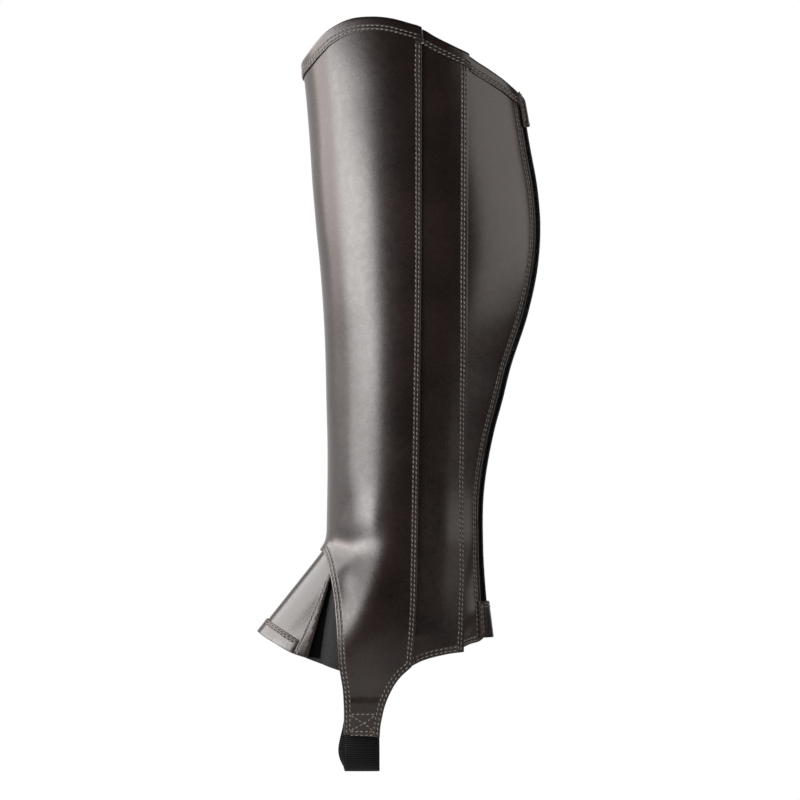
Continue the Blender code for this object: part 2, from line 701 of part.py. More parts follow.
def zip_parts():
    seat, lift = TAPE_DEPTH + GAP, COIL_DEPTH + GAP
    metal = dark_metal()
    zip_piece("zip_coil", COIL_HALF_WIDTH, COIL_BOTTOM, COIL_TOP, seat, COIL_DEPTH, black_coil())
    zip_piece("zip_slider", SLIDER_HALF_WIDTH, SLIDER_BOTTOM, SLIDER_TOP, seat, COIL_DEPTH, metal)
    zip_piece("zip_pull", PULL_HALF_WIDTH, PULL_BOTTOM, PULL_TOP, lift, lift + PULL_THICKNESS, metal)


def cover(name, outline, rise, thickness, bends):
    sheet_piece(name, outline, rise, lambda a, h: rise(a, h) + thickness, brown_leather(), bends)


def zip_guard():
    """Leather sewn on the inner calf panel by its wing, and laid over the closed zip's slider and pull."""
    over_pull = COIL_DEPTH + GAP + PULL_THICKNESS

    def rise(angle, height):
        middle = 1 - soft_step(zip_distance(angle, height), *GUARD_RAMP)
        return GAP + (over_pull - GUARD_CURL * soft_step(height, GUARD_CURL_START, GUARD_TOP)) * middle

    edge, corner = GUARD_HALF_WIDTH, GUARD_CORNER
    inside = GUARD_RAMP[0]
    plan = (
        (edge, GUARD_BOTTOM), (edge, GUARD_BEND_ROW), (edge, GUARD_WING_TOP), (edge, GUARD_TOP - corner),
        (edge - 0.3 * corner, GUARD_TOP - 0.3 * corner), (edge - corner, GUARD_TOP), (inside, GUARD_TOP),
        (0.0, GUARD_TOP), (-inside, GUARD_TOP), (corner - edge, GUARD_TOP),
        (0.3 * corner - edge, GUARD_TOP - 0.3 * corner), (-edge, GUARD_TOP - corner), (-edge, GUARD_WING_TOP),
        (-GUARD_WING, GUARD_WING_TOP), (-GUARD_WING, GUARD_BEND_ROW), (-GUARD_WING, GUARD_BOTTOM),
        (-edge, GUARD_BOTTOM), (-inside, GUARD_BOTTOM), (0.0, GUARD_BOTTOM), (inside, GUARD_BOTTOM),
    )
    outline = [(float(zip_angle(place, height)), height) for place, height in plan]
    rows = (GUARD_BOTTOM + BEND_INSET, GUARD_BEND_ROW + 4.0, GUARD_CURL_START, GUARD_TOP - BEND_INSET)
    bends = [
        [(float(zip_angle(place, height)), height) for height in rows]
        for place in (-GUARD_RAMP[1] + 1.0, -inside, inside, GUARD_RAMP[1] - 1.0)
    ]
    cover("zip_guard", outline, rise, GUARD_THICKNESS, bends)


def heel_tab():
    """Leather over the zip's closed end, sewn on both calf panels. Its lower edge stands off a little."""
    def rise(angle, height):
        middle = 1 - soft_step(zip_distance(angle, height), *HEEL_RAMP)
        flare = HEEL_FLARE * (HEEL_TOP - height) / (HEEL_TOP - HEEL_BOTTOM)
        return GAP + (COIL_DEPTH + flare) * middle

    near, far = HEEL_RAMP
    places = (far, near, 0.0, -near, -far)
    up = up_zip(HEEL_HALF_WIDTH, HEEL_BOTTOM, HEEL_TOP)
    down = up_zip(-HEEL_HALF_WIDTH, HEEL_BOTTOM, HEEL_TOP)[::-1]
    outline = up + across_zip(places, HEEL_TOP) + down + across_zip(places[::-1], HEEL_BOTTOM)
    bends = [up_zip(place, HEEL_BOTTOM, HEEL_TOP)[1:-1] for place in places]
    cover("heel_tab", outline, rise, HEEL_THICKNESS, bends)


def build():
    for old in list(bpy.data.objects):
        bpy.data.objects.remove(old, do_unlink=True)
    shin_panel()
    side_strip()
    calf_panel("calf_panel_outer", REAR_SEAM, 1, CALF_HEM)
    calf_panel("calf_panel_inner", FRONT_SEAM, -1, STRIP_HEM[:-1] + CALF_HEM[1:])
    top_bands()
    instep_flap()
    flap_trim()
    gussets()
    foot_strap()
    zip_tapes()
    zip_parts()
    zip_guard()
    heel_tab()


build()
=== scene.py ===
import math

import bpy
import numpy as np
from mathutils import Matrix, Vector
from mathutils.geometry import delaunay_2d_cdt


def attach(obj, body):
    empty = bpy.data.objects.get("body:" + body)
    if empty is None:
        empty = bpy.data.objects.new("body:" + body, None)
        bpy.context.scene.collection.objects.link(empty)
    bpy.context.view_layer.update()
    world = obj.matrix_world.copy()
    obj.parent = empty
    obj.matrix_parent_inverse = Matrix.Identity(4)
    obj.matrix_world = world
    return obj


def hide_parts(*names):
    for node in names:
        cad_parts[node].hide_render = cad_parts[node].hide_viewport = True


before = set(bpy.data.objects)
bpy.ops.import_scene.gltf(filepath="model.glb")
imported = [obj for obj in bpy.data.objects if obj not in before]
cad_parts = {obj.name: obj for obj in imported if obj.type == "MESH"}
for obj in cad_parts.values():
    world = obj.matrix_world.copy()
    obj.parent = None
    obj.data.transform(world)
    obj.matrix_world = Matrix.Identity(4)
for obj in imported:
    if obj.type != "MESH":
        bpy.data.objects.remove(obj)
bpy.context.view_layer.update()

# Half chap for the left leg in smooth brown leather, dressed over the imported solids.
# The shin faces -Y, the outer side +X. Pieces are drawn by angle round the leg (0 on the shin, +180 at the
# zip by the outer side, -180 by the inner side) and height, in millimetres. Depth counts outwards from the
# outer face of a panel that lies flat on the leg form. Meshes are made in metres.
mm = 0.001
gap = 0.3             # clearance between two layers
leather = 1.5         # panel leather
bindingLeather = 0.9  # split thinner, for folding and trimming
elasticThickness = 1.2
tapeThickness = 1.0
mmPerDegree = 1.15    # scale of the flat patterns round the leg


# Leg form
legForm = {
    "height": (-400, -367, -330, -295, -230, -185, -145, -124, -102, -60, -30, 0, 27, 60, 90, 120, 165),
    "shin": (-74, -74, -74, -74, -74, -73.4, -73.4, -73.7, -74.2, -76.2, -78.3, -81.3, -83.5, -85.7, -88.3,
             -91.2, -93.5),
    "calf": (48, 46.5, 45, 43, 39, 40, 46.9, 52.6, 57.9, 71.2, 77.7, 79.8, 77.9, 72.1, 67, 60.5, 51),
    "widest": (-19, -19, -19, -19, -18.5, -17, -13, -10, -7, -1, 2, 3, 2, -1, -4, -7, -11),
    "halfWidth": (31, 34, 38, 40.5, 38.5, 37.5, 38.5, 39.4, 40.5, 42.5, 43.5, 44.5, 45, 45.5, 45.5, 45.5, 45),
    "creaseHeight": -225.7,    # below this the instep runs forward
    "instepSlope": 0.784,
    "creaseRounding": 2.6,
    "widestShare": 0.25,
}

# Creases: angle, height, half length, half width, tilt in degrees, depth (ridges above 0, troughs below)
creases = (
    # front of the ankle, outer side and inner side
    (41, -203, 13, 18, -8, -0.7), (66, -211, 12, 15, -10, 0.7), (44, -231, 18, 10.5, -12, -1.5),
    (-46, -212, 18, 12, 6, 0.9), (-60, -238, 16, 11, 16, -0.6),
    # behind the ankle, and the largest ones of the tabs
    (148, -252, 16, 6, 80, -0.7), (-132, -252, 18, 6, -80, -0.9),
    (86, -334, 18, 6, 8, -0.8), (-84, -336, 16, 6, -10, -0.8),
    # the sides stand out beside the cut-out
    (81, -283, 50, 13.5, -91, 3.3), (-81, -280, 50, 14, 91, 2.9),
    (61, -257, 13, 4.5, -66, -0.35), (-62, -253, 12, 5, 64, -0.4),
    # puckers where the strip and the panels behind it are sewn
    (106.5, -261, 5, 2.0, 8, -0.14), (109, -270, 8, 2.4, 16, -0.2), (108, -279.5, 6, 2.2, 24, -0.22),
    (115.5, -284.5, 9, 3.2, 32, -0.4), (111, -290, 8, 3, 24, 0.35),
    (149, -278, 8, 5, 60, 0.5), (143.5, -287, 9, 3.6, 52, -0.5),
    (-108, -268, 8, 2.6, -16, -0.4), (-112, -284, 9, 3, -24, -0.45), (-146, -280, 9, 5, -60, 0.5),
    # wrinkles on the tabs
    (84, -329, 13, 2.6, 4, -0.4), (86, -336.5, 12, 2.6, -4, -0.4), (84.5, -343.5, 12, 2.4, 3, -0.3),
    (-85, -331, 12, 2.6, -5, -0.35), (-84, -339, 13, 2.6, 4, -0.4),
)

# Slow unevenness of filled-out leather: waves round the leg, waves up it, phase, depth
unevenness = (
    (2.3, 0.021, 0.4, 0.22), (3.7, 0.034, 2.1, 0.16), (5.2, 0.052, 4.4, 0.10), (1.4, 0.075, 1.3, 0.10),
    (8.5, 0.047, 5.6, 0.06),
)


def cubic(value, known, results):
    # Cubic curve through the points, straight on past its ends
    value = np.asarray(value, float)
    known = np.asarray(known, float)
    results = np.asarray(results, float)
    slopes = np.gradient(results, known)
    i = np.clip(np.searchsorted(known, value) - 1, 0, len(known) - 2)
    span = known[i + 1] - known[i]
    t = (value - known[i]) / span
    inside = (
        (1 + 2 * t) * (1 - t) ** 2 * results[i] + t * (1 - t) ** 2 * span * slopes[i]
        + t * t * (3 - 2 * t) * results[i + 1] + t * t * (t - 1) * span * slopes[i + 1]
    )
    before = results[0] + slopes[0] * (value - known[0])
    after = results[-1] + slopes[-1] * (value - known[-1])
    return np.where(value < known[0], before, np.where(value > known[-1], after, inside))


def softStep(value, low, high):
    t = np.clip((value - low) / (high - low), 0, 1)
    return t * t * (3 - 2 * t)


def unit(vectors):
    return vectors / np.linalg.norm(vectors, axis=-1, keepdims=True)


def runAlong(points):
    # Length of a line from its start to each of its points
    return np.concatenate([[0], np.cumsum(np.linalg.norm(np.diff(points, axis=0), axis=1))])


def legSize(height, name):
    return cubic(height, legForm["height"], legForm[name])


def section(height):
    # Front, back, widest place and half width of the leg at a height
    below = (legForm["creaseHeight"] - height) / legForm["creaseRounding"]
    instep = legForm["instepSlope"] * legForm["creaseRounding"] * np.logaddexp(0, below)
    front = legSize(height, "shin") - instep
    widest = legSize(height, "widest") - legForm["widestShare"] * instep
    return front, legSize(height, "calf"), widest, legSize(height, "halfWidth")


def plainForm(angle, height):
    front, back, widest, halfWidth = section(height)
    turn = np.radians(angle)
    forward = np.cos(turn)
    reach = np.where(forward > 0, widest - front, back - widest)
    return np.stack([halfWidth * np.sin(turn), widest - reach * forward, height], axis=-1)


def outward(form, angle, height):
    step = 0.2
    across = form(angle + step, height) - form(angle - step, height)
    up = form(angle, height + step) - form(angle, height - step)
    return unit(np.cross(across, up))


def creaseDepth(angle, height):
    total = np.zeros(np.shape(angle))
    for middle, level, halfLength, halfWidth, tilt, depth in creases:
        over = (angle - middle) * mmPerDegree
        up = height - level
        turn = math.radians(tilt)
        along = (over * math.cos(turn) + up * math.sin(turn)) / halfLength
        across = (up * math.cos(turn) - over * math.sin(turn)) / halfWidth
        total = total + depth * np.exp(-along ** 2 - across ** 2)
    for around, up, phase, depth in unevenness:
        total = total + depth * np.sin(np.radians(angle) * around + phase) * np.cos(height * up + 2 * phase)
    return total


def foldedForm(angle, height):
    depth = creaseDepth(angle, height)[..., None]
    return plainForm(angle, height) + outward(plainForm, angle, height) * depth


def legPoints(angle, height, depth):
    angle, height, depth = np.broadcast_arrays(np.asarray(angle, float), height, depth)
    return foldedForm(angle, height) + outward(foldedForm, angle, height) * depth[..., None]


def angleAt(place, height, side=1):
    # Angle of a point given by its place from front to back
    front, back, widest, _ = section(height)
    ahead = np.degrees(np.arccos(np.clip((widest - place) / (widest - front), -1, 1)))
    behind = 90 + np.degrees(np.arcsin(np.clip((place - widest) / (back - widest), -1, 1)))
    return side * np.where(place < widest, ahead, behind)


# Edges by height and place from front to back; the outer and inner sides mirror each other
topLine = (
    (-180, 96), (-165, 97.2), (-150, 98.4), (-120, 101), (-90, 104), (-60, 107.3), (-30, 111.3), (0, 117),
    (8, 119.4), (16, 122.6), (24, 127.4), (32, 133.5), (40, 139.7), (46, 143.3), (52, 146.4), (58.5, 148.5),
    (65, 149.2), (72, 149), (78, 147.8), (86, 144.6), (94.2, 140.8), (101, 135.9), (108, 131.6), (114, 128.1),
    (120.5, 124.4), (127.5, 119.3), (134, 115.3), (140.5, 111.4), (147.5, 107.5), (155, 103.2), (166, 98.3),
    (180, 93),
)
frontSeam = ((-314.7, -12.7), (-284.9, -10.3), (-238.2, -8.9), (-175.6, -7.8), (-68.4, -6.1), (143, -5.4))
rearSeam = ((-304.2, 24), (-281.3, 24.4), (-173.8, 24.8), (-117, 26.3), (-23.7, 27.3), (143.3, 27.2))
cutOutEdge = ((-363.4, -61), (-342.1, -61.2), (-329.7, -62), (-317.7, -63.8), (-296.6, -65.5), (-280, -66.8),
              (-263.6, -68.5), (-248.4, -71.3), (-234.6, -75.4))
flapEdge = ((-308.2, -87.8), (-279.1, -79.7), (-249.7, -71.7))
mouthAtZip = 97.0      # height of the top line at the back


def looked(table, value):
    known, results = zip(*table)
    return cubic(value, known, results)


def topHeight(angle):
    return looked(topLine, angle)


def edgeAngle(edge, height, side=1):
    return angleAt(looked(edge, height), height, side)


def zipAngle(distance, height):
    # Angle of a point this far from the middle of the back, past 180 on the inner side
    return 180 - np.degrees(np.arcsin(distance / legSize(height, "halfWidth")))


def zipPoints(plan):
    return [(float(zipAngle(distance, height)), height) for distance, height in plan]


def zipDistance(angle, height):
    return legSize(height, "halfWidth") * np.abs(np.sin(np.radians(angle)))


def seamTop(edge, side=1):
    # Where a seam meets the top line
    height = mouthAtZip
    for _ in range(12):
        angle = float(edgeAngle(edge, height, side))
        height = float(topHeight(angle))
    return angle, height


def byHeight(pairs, height):
    heights, values = zip(*sorted(pairs))
    return np.interp(height, heights, values)


# Lines of an outline, as rows of angle and height
def straight(start, end, step=2.0):
    start, end = np.array(start, float), np.array(end, float)
    length = np.hypot(*((end - start) * (mmPerDegree, 1)))
    return np.linspace(start, end, max(2, int(length / step) + 1))


def curveThrough(points, step=2.0):
    points = np.array(points, float)
    run = runAlong(points * (mmPerDegree, 1))
    places = np.linspace(0, run[-1], max(2, int(run[-1] / step) + 1))
    return np.stack([cubic(places, run, points[:, i]) for i in (0, 1)], axis=1)


def heightsBetween(low, high, step=2.0):
    return np.linspace(low, high, max(2, int(abs(high - low) / step)))


def upEdge(edge, low, high, side=1, shift=0.0):
    heights = heightsBetween(low, high)
    return np.stack([edgeAngle(edge, heights, side) + side * shift / mmPerDegree, heights], axis=1)


def upZip(distance, low, high, side=1):
    heights = heightsBetween(low, high)
    return np.stack([side * zipAngle(distance, heights), heights], axis=1)


def hemPoints(hem, side=1):
    heights, places = np.array(hem, float).T
    return np.stack([angleAt(places, heights, side), heights], axis=1)


def alongTop(start, end, drop=0.0):
    angles = np.linspace(start, end, max(2, int(abs(end - start))))
    return np.stack([angles, topHeight(angles) - drop], axis=1)


def outlineOf(*runs):
    # One closed outline in flat millimetres, running anticlockwise
    flat = np.vstack(runs) * (mmPerDegree, 1)
    flat = flat[np.linalg.norm(flat - np.roll(flat, 1, axis=0), axis=1) > 0.3]
    dense = []
    for start, end in zip(flat, np.roll(flat, -1, axis=0)):
        pieces = max(1, int(np.ceil(np.linalg.norm(end - start) / 2.6)))
        dense += [start + (end - start) * i / pieces for i in range(pieces)]
    flat = np.array(dense)
    following = np.roll(flat, -1, axis=0)
    turn = (flat[:, 0] * following[:, 1] - following[:, 0] * flat[:, 1]).sum()
    return flat if turn > 0 else flat[::-1]


def insetLine(flat, distance):
    steps = (flat - np.roll(flat, 1, axis=0), np.roll(flat, -1, axis=0) - flat)
    before, after = (unit(np.stack([-step[:, 1], step[:, 0]], axis=1)) for step in steps)
    openness = np.maximum(1 + (before * after).sum(axis=1, keepdims=True), 0.4)
    return flat + distance * (before + after) / openness


def distanceTo(points, line, closed=True):
    nearest = np.full(len(points), np.inf)
    ends = np.roll(line, -1, axis=0) if closed else line[1:]
    for start, end in zip(line, ends):
        side = end - start
        t = np.clip(((points - start) @ side) / max(side @ side, 1e-12), 0, 1)
        nearest = np.minimum(nearest, ((points - start - t[:, None] * side) ** 2).sum(axis=1))
    return np.sqrt(nearest)


def insideOf(points, line):
    inside = np.zeros(len(points), bool)
    for (x0, y0), (x1, y1) in zip(line, np.roll(line, -1, axis=0)):
        if y0 != y1:
            crosses = (points[:, 1] > min(y0, y1)) & (points[:, 1] <= max(y0, y1))
            inside ^= crosses & (points[:, 0] < x0 + (points[:, 1] - y0) * (x1 - x0) / (y1 - y0))
    return inside


def fillCut(edge, spacing):
    # Even squares inside an outline, and triangles only between them and its edge
    low, high = edge.min(axis=0), edge.max(axis=0)
    columns = np.arange(low[0] + 0.5 * spacing, high[0], spacing)
    levels = np.arange(low[1] + 0.5 * spacing, high[1], spacing)
    grid = np.stack(np.meshgrid(columns, levels, indexing="ij"), axis=-1)
    spots = grid.reshape(-1, 2)
    good = insideOf(spots, edge)
    good[good] = distanceTo(spots[good], edge) > 0.6 * spacing
    good = good.reshape(grid.shape[:2])
    number = np.cumsum(good.ravel()).reshape(good.shape) - 1 + len(edge)
    cells = good[:-1, :-1] & good[1:, :-1] & good[:-1, 1:] & good[1:, 1:]
    faces = []
    for i, j in np.argwhere(cells):
        faces.append((number[i, j], number[i + 1, j], number[i + 1, j + 1], number[i, j + 1]))
    points = np.vstack([edge, grid[good]])
    padded = np.pad(cells, 1)
    neighbours = padded[:-1, :-1].astype(int) + padded[1:, :-1] + padded[:-1, 1:] + padded[1:, 1:]
    border = good & (neighbours < 4)
    strip = np.concatenate([np.arange(len(edge)), number[border]])
    local = {int(full): i for i, full in enumerate(strip)}
    lines = [(i, (i + 1) % len(edge)) for i in range(len(edge))]
    once = padded[1:, :-1] ^ padded[1:, 1:]     # sides between neighbouring columns
    for i, j in np.argwhere(once[:len(columns) - 1, :len(levels)]):
        lines.append((local[int(number[i, j])], local[int(number[i + 1, j])]))
    once = padded[:-1, 1:] ^ padded[1:, 1:]     # sides between neighbouring levels
    for i, j in np.argwhere(once[:len(columns), :len(levels) - 1]):
        lines.append((local[int(number[i, j])], local[int(number[i, j + 1])]))
    corners = [tuple(points[i]) for i in strip]
    spots, _, triangles, origins, _, _ = delaunay_2d_cdt(corners, lines, [], 1, 1e-6)
    for triangle in triangles:
        middle = np.mean([spots[i] for i in triangle], axis=0)
        i, j = ((middle - (columns[0], levels[0])) // spacing).astype(int)
        covered = 0 <= i < cells.shape[0] and 0 <= j < cells.shape[1] and cells[i, j]
        if not covered:
            faces.append(tuple(int(strip[origins[corner][0]]) for corner in triangle))
    return points, faces


# Node trees
def linear(hexColour):
    parts = [int(hexColour[i:i + 2], 16) / 255 for i in (1, 3, 5)]
    return tuple(c / 12.92 if c <= 0.04045 else ((c + 0.055) / 1.055) ** 2.4 for c in parts) + (1.0,)


def addNode(tree, kind, inputs=(), output=0, **settings):
    # Gives one output of the new node, or the node itself where output is None
    node = tree.nodes.new(kind)
    for name, value in settings.items():
        setattr(node, name, value)
    for name, value in inputs.items() if isinstance(inputs, dict) else enumerate(inputs):
        if isinstance(value, bpy.types.NodeSocket):
            tree.links.new(value, node.inputs[name])
        else:
            node.inputs[name].default_value = value
    return node if output is None else node.outputs[output]


def newMaterial(name, roughness, **shaderSettings):
    made = bpy.data.materials.new(name)
    made.use_nodes = True
    shader = made.node_tree.nodes["Principled BSDF"]
    shader.inputs["Roughness"].default_value = roughness
    for setting, value in shaderSettings.items():
        shader.inputs[setting.replace("_", " ")].default_value = value
    return made, made.node_tree, shader


smooth = {"interpolation_type": "SMOOTHSTEP"}
colours = {"output": 2, "data_type": "RGBA"}


# Full-grain cowhide, pigmented and polished: a nearly smooth, semi-gloss face with fine pores, a little slow
# mottling, and a soft dip along each row of stitches, where painted shade darkens the colour
def polishedLeather():
    sizes = {"pores": 1.5, "grain": 5.0, "mottling": 34.0}     # mm; pores drawn coarser than the real 0.3
    depths = {"pores": 0.006, "grain": 0.022, "mottling": 0.16, "grooveAndPaintedShade": -0.16}       # mm
    made, tree, shader = newMaterial("full_grain_leather", 0.27, IOR=1.52, Specular_IOR_Level=1.0,
                                     Specular_Tint=(1.0, 0.975, 0.955, 1.0))
    place = addNode(tree, "ShaderNodeTexCoord", output="Object")
    patterns = {}
    for name, detail in (("pores", 1.0), ("grain", 1.0), ("mottling", 1.5)):
        inputs = {"Vector": place, "Scale": 1 / (sizes[name] * mm), "Detail": detail}
        patterns[name] = addNode(tree, "ShaderNodeTexNoise", inputs)
    rows = addNode(tree, "ShaderNodeAttribute", output="Fac", attribute_name="rows")
    nearest = addNode(tree, "ShaderNodeMath", (rows,), operation="ROUND", use_clamp=True)
    apart = addNode(tree, "ShaderNodeMath", (rows, nearest), operation="SUBTRACT")
    away = addNode(tree, "ShaderNodeMath", (apart,), operation="ABSOLUTE")
    # The dip along each row of stitches, which also carries painted shade in the colour
    grooveAndPaintedShade = addNode(tree, "ShaderNodeMapRange", (away, 0.06, 0.42, 1.0, 0.0), **smooth)
    patterns["grooveAndPaintedShade"] = grooveAndPaintedShade
    share = addNode(tree, "ShaderNodeMapRange", (patterns["mottling"], 0.3, 0.7, 0.0, 1.0), **smooth)
    hide = addNode(tree, "ShaderNodeMix", {0: share, 6: linear("#221816"), 7: linear("#302321")}, **colours)
    # Painted shade: the leather's colour goes towards near black in the dip along each row of stitches
    paintedShade = addNode(tree, "ShaderNodeMath", (grooveAndPaintedShade, 0.85), operation="MULTIPLY")
    colour = addNode(tree, "ShaderNodeMix", {0: paintedShade, 6: hide, 7: linear("#060404")}, **colours)
    tree.links.new(colour, shader.inputs["Base Color"])
    polish = addNode(tree, "ShaderNodeMapRange", (patterns["grain"], 0.25, 0.75, 0.26, 0.29), **smooth)
    dulled = addNode(tree, "ShaderNodeMath", (grooveAndPaintedShade, 0.3, polish), operation="MULTIPLY_ADD")
    tree.links.new(dulled, shader.inputs["Roughness"])
    height = 0.0
    for name, depth in depths.items():
        height = addNode(tree, "ShaderNodeMath", (patterns[name], depth, height), operation="MULTIPLY_ADD")
    bump = addNode(tree, "ShaderNodeBump", {"Strength": 1.0, "Distance": mm, "Height": height})
    tree.links.new(bump, shader.inputs["Normal"])
    return made


def speckled(name, roughness, tones, size, detail, spread=(), bump=(), polish=(), cloud=(), **shaderSettings):
    # Two tones mixed by a fine noise, and by a slow one where cloud gives its size and detail. Sizes are in
    # mm, bump is a strength and a depth, polish a range of roughness
    made, tree, shader = newMaterial(name, roughness, **shaderSettings)
    place = addNode(tree, "ShaderNodeTexCoord", output="Object")
    noise = addNode(tree, "ShaderNodeTexNoise", {"Vector": place, "Scale": 1 / (size * mm), "Detail": detail})
    share = noise
    if cloud:
        inputs = {"Vector": place, "Scale": 1 / (cloud[0] * mm), "Detail": cloud[1]}
        slow = addNode(tree, "ShaderNodeTexNoise", inputs)
        half = addNode(tree, "ShaderNodeMath", (noise, 0.5), operation="MULTIPLY")
        share = addNode(tree, "ShaderNodeMath", (slow, 0.5, half), operation="MULTIPLY_ADD")
    if spread:
        share = addNode(tree, "ShaderNodeMapRange", (share, *spread, 0.0, 1.0), **smooth)
    colour = addNode(tree, "ShaderNodeMix", {0: share, 6: linear(tones[0]), 7: linear(tones[1])}, **colours)
    tree.links.new(colour, shader.inputs["Base Color"])
    if polish:
        worn = addNode(tree, "ShaderNodeMapRange", (noise, 0.3, 0.7, *polish), **smooth)
        tree.links.new(worn, shader.inputs["Roughness"])
    if bump:
        inputs = {"Strength": bump[0], "Distance": bump[1] * mm, "Height": noise}
        tree.links.new(addNode(tree, "ShaderNodeBump", inputs), shader.inputs["Normal"])
    return made


# Woven narrow goods: threads up and across in the piece's own flat layout, each crossing a rounded bump.
# pitch is the two thread spacings in mm, rib how far the threads along the piece stand out
def wovenCloth(name, roughness, tones, pitch, rib=0.0):
    made, tree, shader = newMaterial(name, roughness, Specular_IOR_Level=0.03, Sheen_Weight=0.02)
    layout = addNode(tree, "ShaderNodeUVMap", uv_map="flat")
    parts = addNode(tree, "ShaderNodeSeparateXYZ", (layout,), None).outputs
    threads = []
    for part, apart in zip(parts, pitch):
        turn = addNode(tree, "ShaderNodeMath", (part, math.tau / (apart * mm)), operation="MULTIPLY")
        threads.append(addNode(tree, "ShaderNodeMath", (turn,), operation="SINE"))
    ribs = addNode(tree, "ShaderNodeMath", (threads[0], rib), operation="MULTIPLY")
    height = addNode(tree, "ShaderNodeMath", (*threads, ribs), operation="MULTIPLY_ADD")
    raised = addNode(tree, "ShaderNodeMapRange", (height, -1.0, 1.0, 0.0, 0.7), **smooth)
    place = addNode(tree, "ShaderNodeTexCoord", output="Object")
    fuzz = addNode(tree, "ShaderNodeTexNoise", {"Vector": place, "Scale": 1 / (0.7 * mm), "Detail": 2.0})
    shade = addNode(tree, "ShaderNodeMath", (fuzz, 0.3, raised), operation="MULTIPLY_ADD")
    colour = addNode(tree, "ShaderNodeMix", {0: shade, 6: linear(tones[0]), 7: linear(tones[1])}, **colours)
    tree.links.new(colour, shader.inputs["Base Color"])
    bump = addNode(tree, "ShaderNodeBump", {"Strength": 0.8, "Distance": 0.12 * mm, "Height": height})
    tree.links.new(bump, shader.inputs["Normal"])
    return made


# Elastic cord spun over rubber, the ribs of the foot strap: black, dull, slightly fuzzy
def ribbedElastic():
    made, tree, shader = newMaterial("elastic_rib", 0.55, Specular_IOR_Level=0.35, Sheen_Weight=0.04)
    place = addNode(tree, "ShaderNodeTexCoord", output="Object")
    inputs = {"Vector": place, "Scale": 1 / (3.2 * mm), "Distortion": 1.5, "Detail": 1.0}
    wound = addNode(tree, "ShaderNodeTexWave", inputs, "Fac", bands_direction="Y")
    colour = addNode(tree, "ShaderNodeMix", {0: wound, 6: linear("#090909"), 7: linear("#1a1a1c")}, **colours)
    tree.links.new(colour, shader.inputs["Base Color"])
    bump = addNode(tree, "ShaderNodeBump", {"Strength": 0.5, "Distance": 0.1 * mm, "Height": wound})
    tree.links.new(bump, shader.inputs["Normal"])
    return made


finishes = {
    "leather": polishedLeather(),
    # Flesh side of the same hide, shaved and brushed: dull, with a short nap
    "flesh": speckled("flesh_side", 0.95, ("#3a2b25", "#54423a"), size=1.1, detail=4.0, spread=(0.35, 0.65),
                      bump=(0.6, 0.3), cloud=(14, 3.0), Sheen_Weight=0.25, Sheen_Roughness=0.5),
    # Cut edge, painted with edge dye and burnished: a little waxy, with the fibres just showing. Its tones
    # are lighter than the dye alone, a painted highlight for the light the cut edges catch
    "edge": speckled("dyed_edge_and_painted_highlight", 0.36, ("#54443c", "#8a786d"), size=0.8, detail=3.0, spread=(0.35, 0.7),
                     bump=(0.5, 0.2), IOR=1.5),
    # Bonded polyester thread, three plies twisted: matt with a slight sheen, paler than the leather
    "thread": speckled("bonded_thread", 0.6, ("#94877d", "#c8bcb1"), size=0.9, detail=2.0, spread=(0.3, 0.7),
                       Sheen_Weight=0.2),
    # Plain-woven cotton, dyed black: matt; threads drawn coarser than the real 0.5 mm. It backs the instep
    # flap, and its margin past the flap's rear edge stands in for the shadow there, a painted shadow
    "blackClothAndPaintedShadow": wovenCloth("cotton_backing_and_painted_shadow", 0.9, ("#070707", "#131314"), (0.9, 0.9)),
    # Woven polyester tape, black: close and firm, with fine ribs along it
    "zipTape": wovenCloth("woven_zip_tape", 0.8, ("#080809", "#161617"), (1.0, 1.3), 0.5),
    # Elastic web woven from black and grey yarns over rubber: grey where the pale yarn comes up
    "greyElastic": wovenCloth("woven_elastic", 0.85, ("#141415", "#5e5e60"), (1.5, 1.3), 0.4),
    # Ground of the foot strap's elastic between its ribs: black and dull
    "strapElastic": wovenCloth("strap_elastic", 0.7, ("#070708", "#111112"), (0.8, 1.5)),
    "rib": ribbedElastic(),
    # Extruded nylon, wound into the zip's coil: black, smooth, with small scuffs
    "coil": speckled("wound_nylon", 0.35, ("#131314", "#29292b"), size=2.0, detail=4.0, polish=(0.28, 0.45),
                     IOR=1.53),
    # Die-cast zinc with a dark plating, tumbled: grey metal, worn a little lighter here and there
    "metal": speckled("plated_zinc", 0.35, ("#4e4b48", "#7d7974"), size=1.5, detail=4.0, spread=(0.45, 0.7),
                      polish=(0.28, 0.42), Metallic=1.0),
}
leatherFaces = ("leather", "flesh", "edge")
print("materials made")


def addToScene(name, data):
    holder = bpy.data.objects.new(name, data)
    bpy.context.scene.collection.objects.link(holder)
    return holder


# Meshes
def addPiece(name, points, faces, finishNames, finishOf=None, uv=None, rows=None, sharp=40):
    mesh = bpy.data.meshes.new(name)
    faces = [tuple(int(i) for i in face) for face in faces]
    mesh.from_pydata([tuple(p) for p in np.asarray(points) * mm], [], faces)
    for finish in finishNames:
        mesh.materials.append(finishes[finish])
    mesh.polygons.foreach_set("use_smooth", [True] * len(mesh.polygons))
    if finishOf is not None:
        mesh.polygons.foreach_set("material_index", [int(i) for i in finishOf])
    if uv is not None:
        corners = np.empty(len(mesh.loops), int)
        mesh.loops.foreach_get("vertex_index", corners)
        layer = mesh.uv_layers.new(name="flat")
        layer.data.foreach_set("uv", (np.asarray(uv)[corners] * mm).ravel())
    if rows is not None:
        mesh.attributes.new("rows", "FLOAT", "POINT").data.foreach_set("value", np.asarray(rows, float))
    mesh.set_sharp_from_angle(angle=math.radians(sharp))
    mesh.update()
    return addToScene(name, mesh)


noRow = 4.0       # value of rows away from any stitches


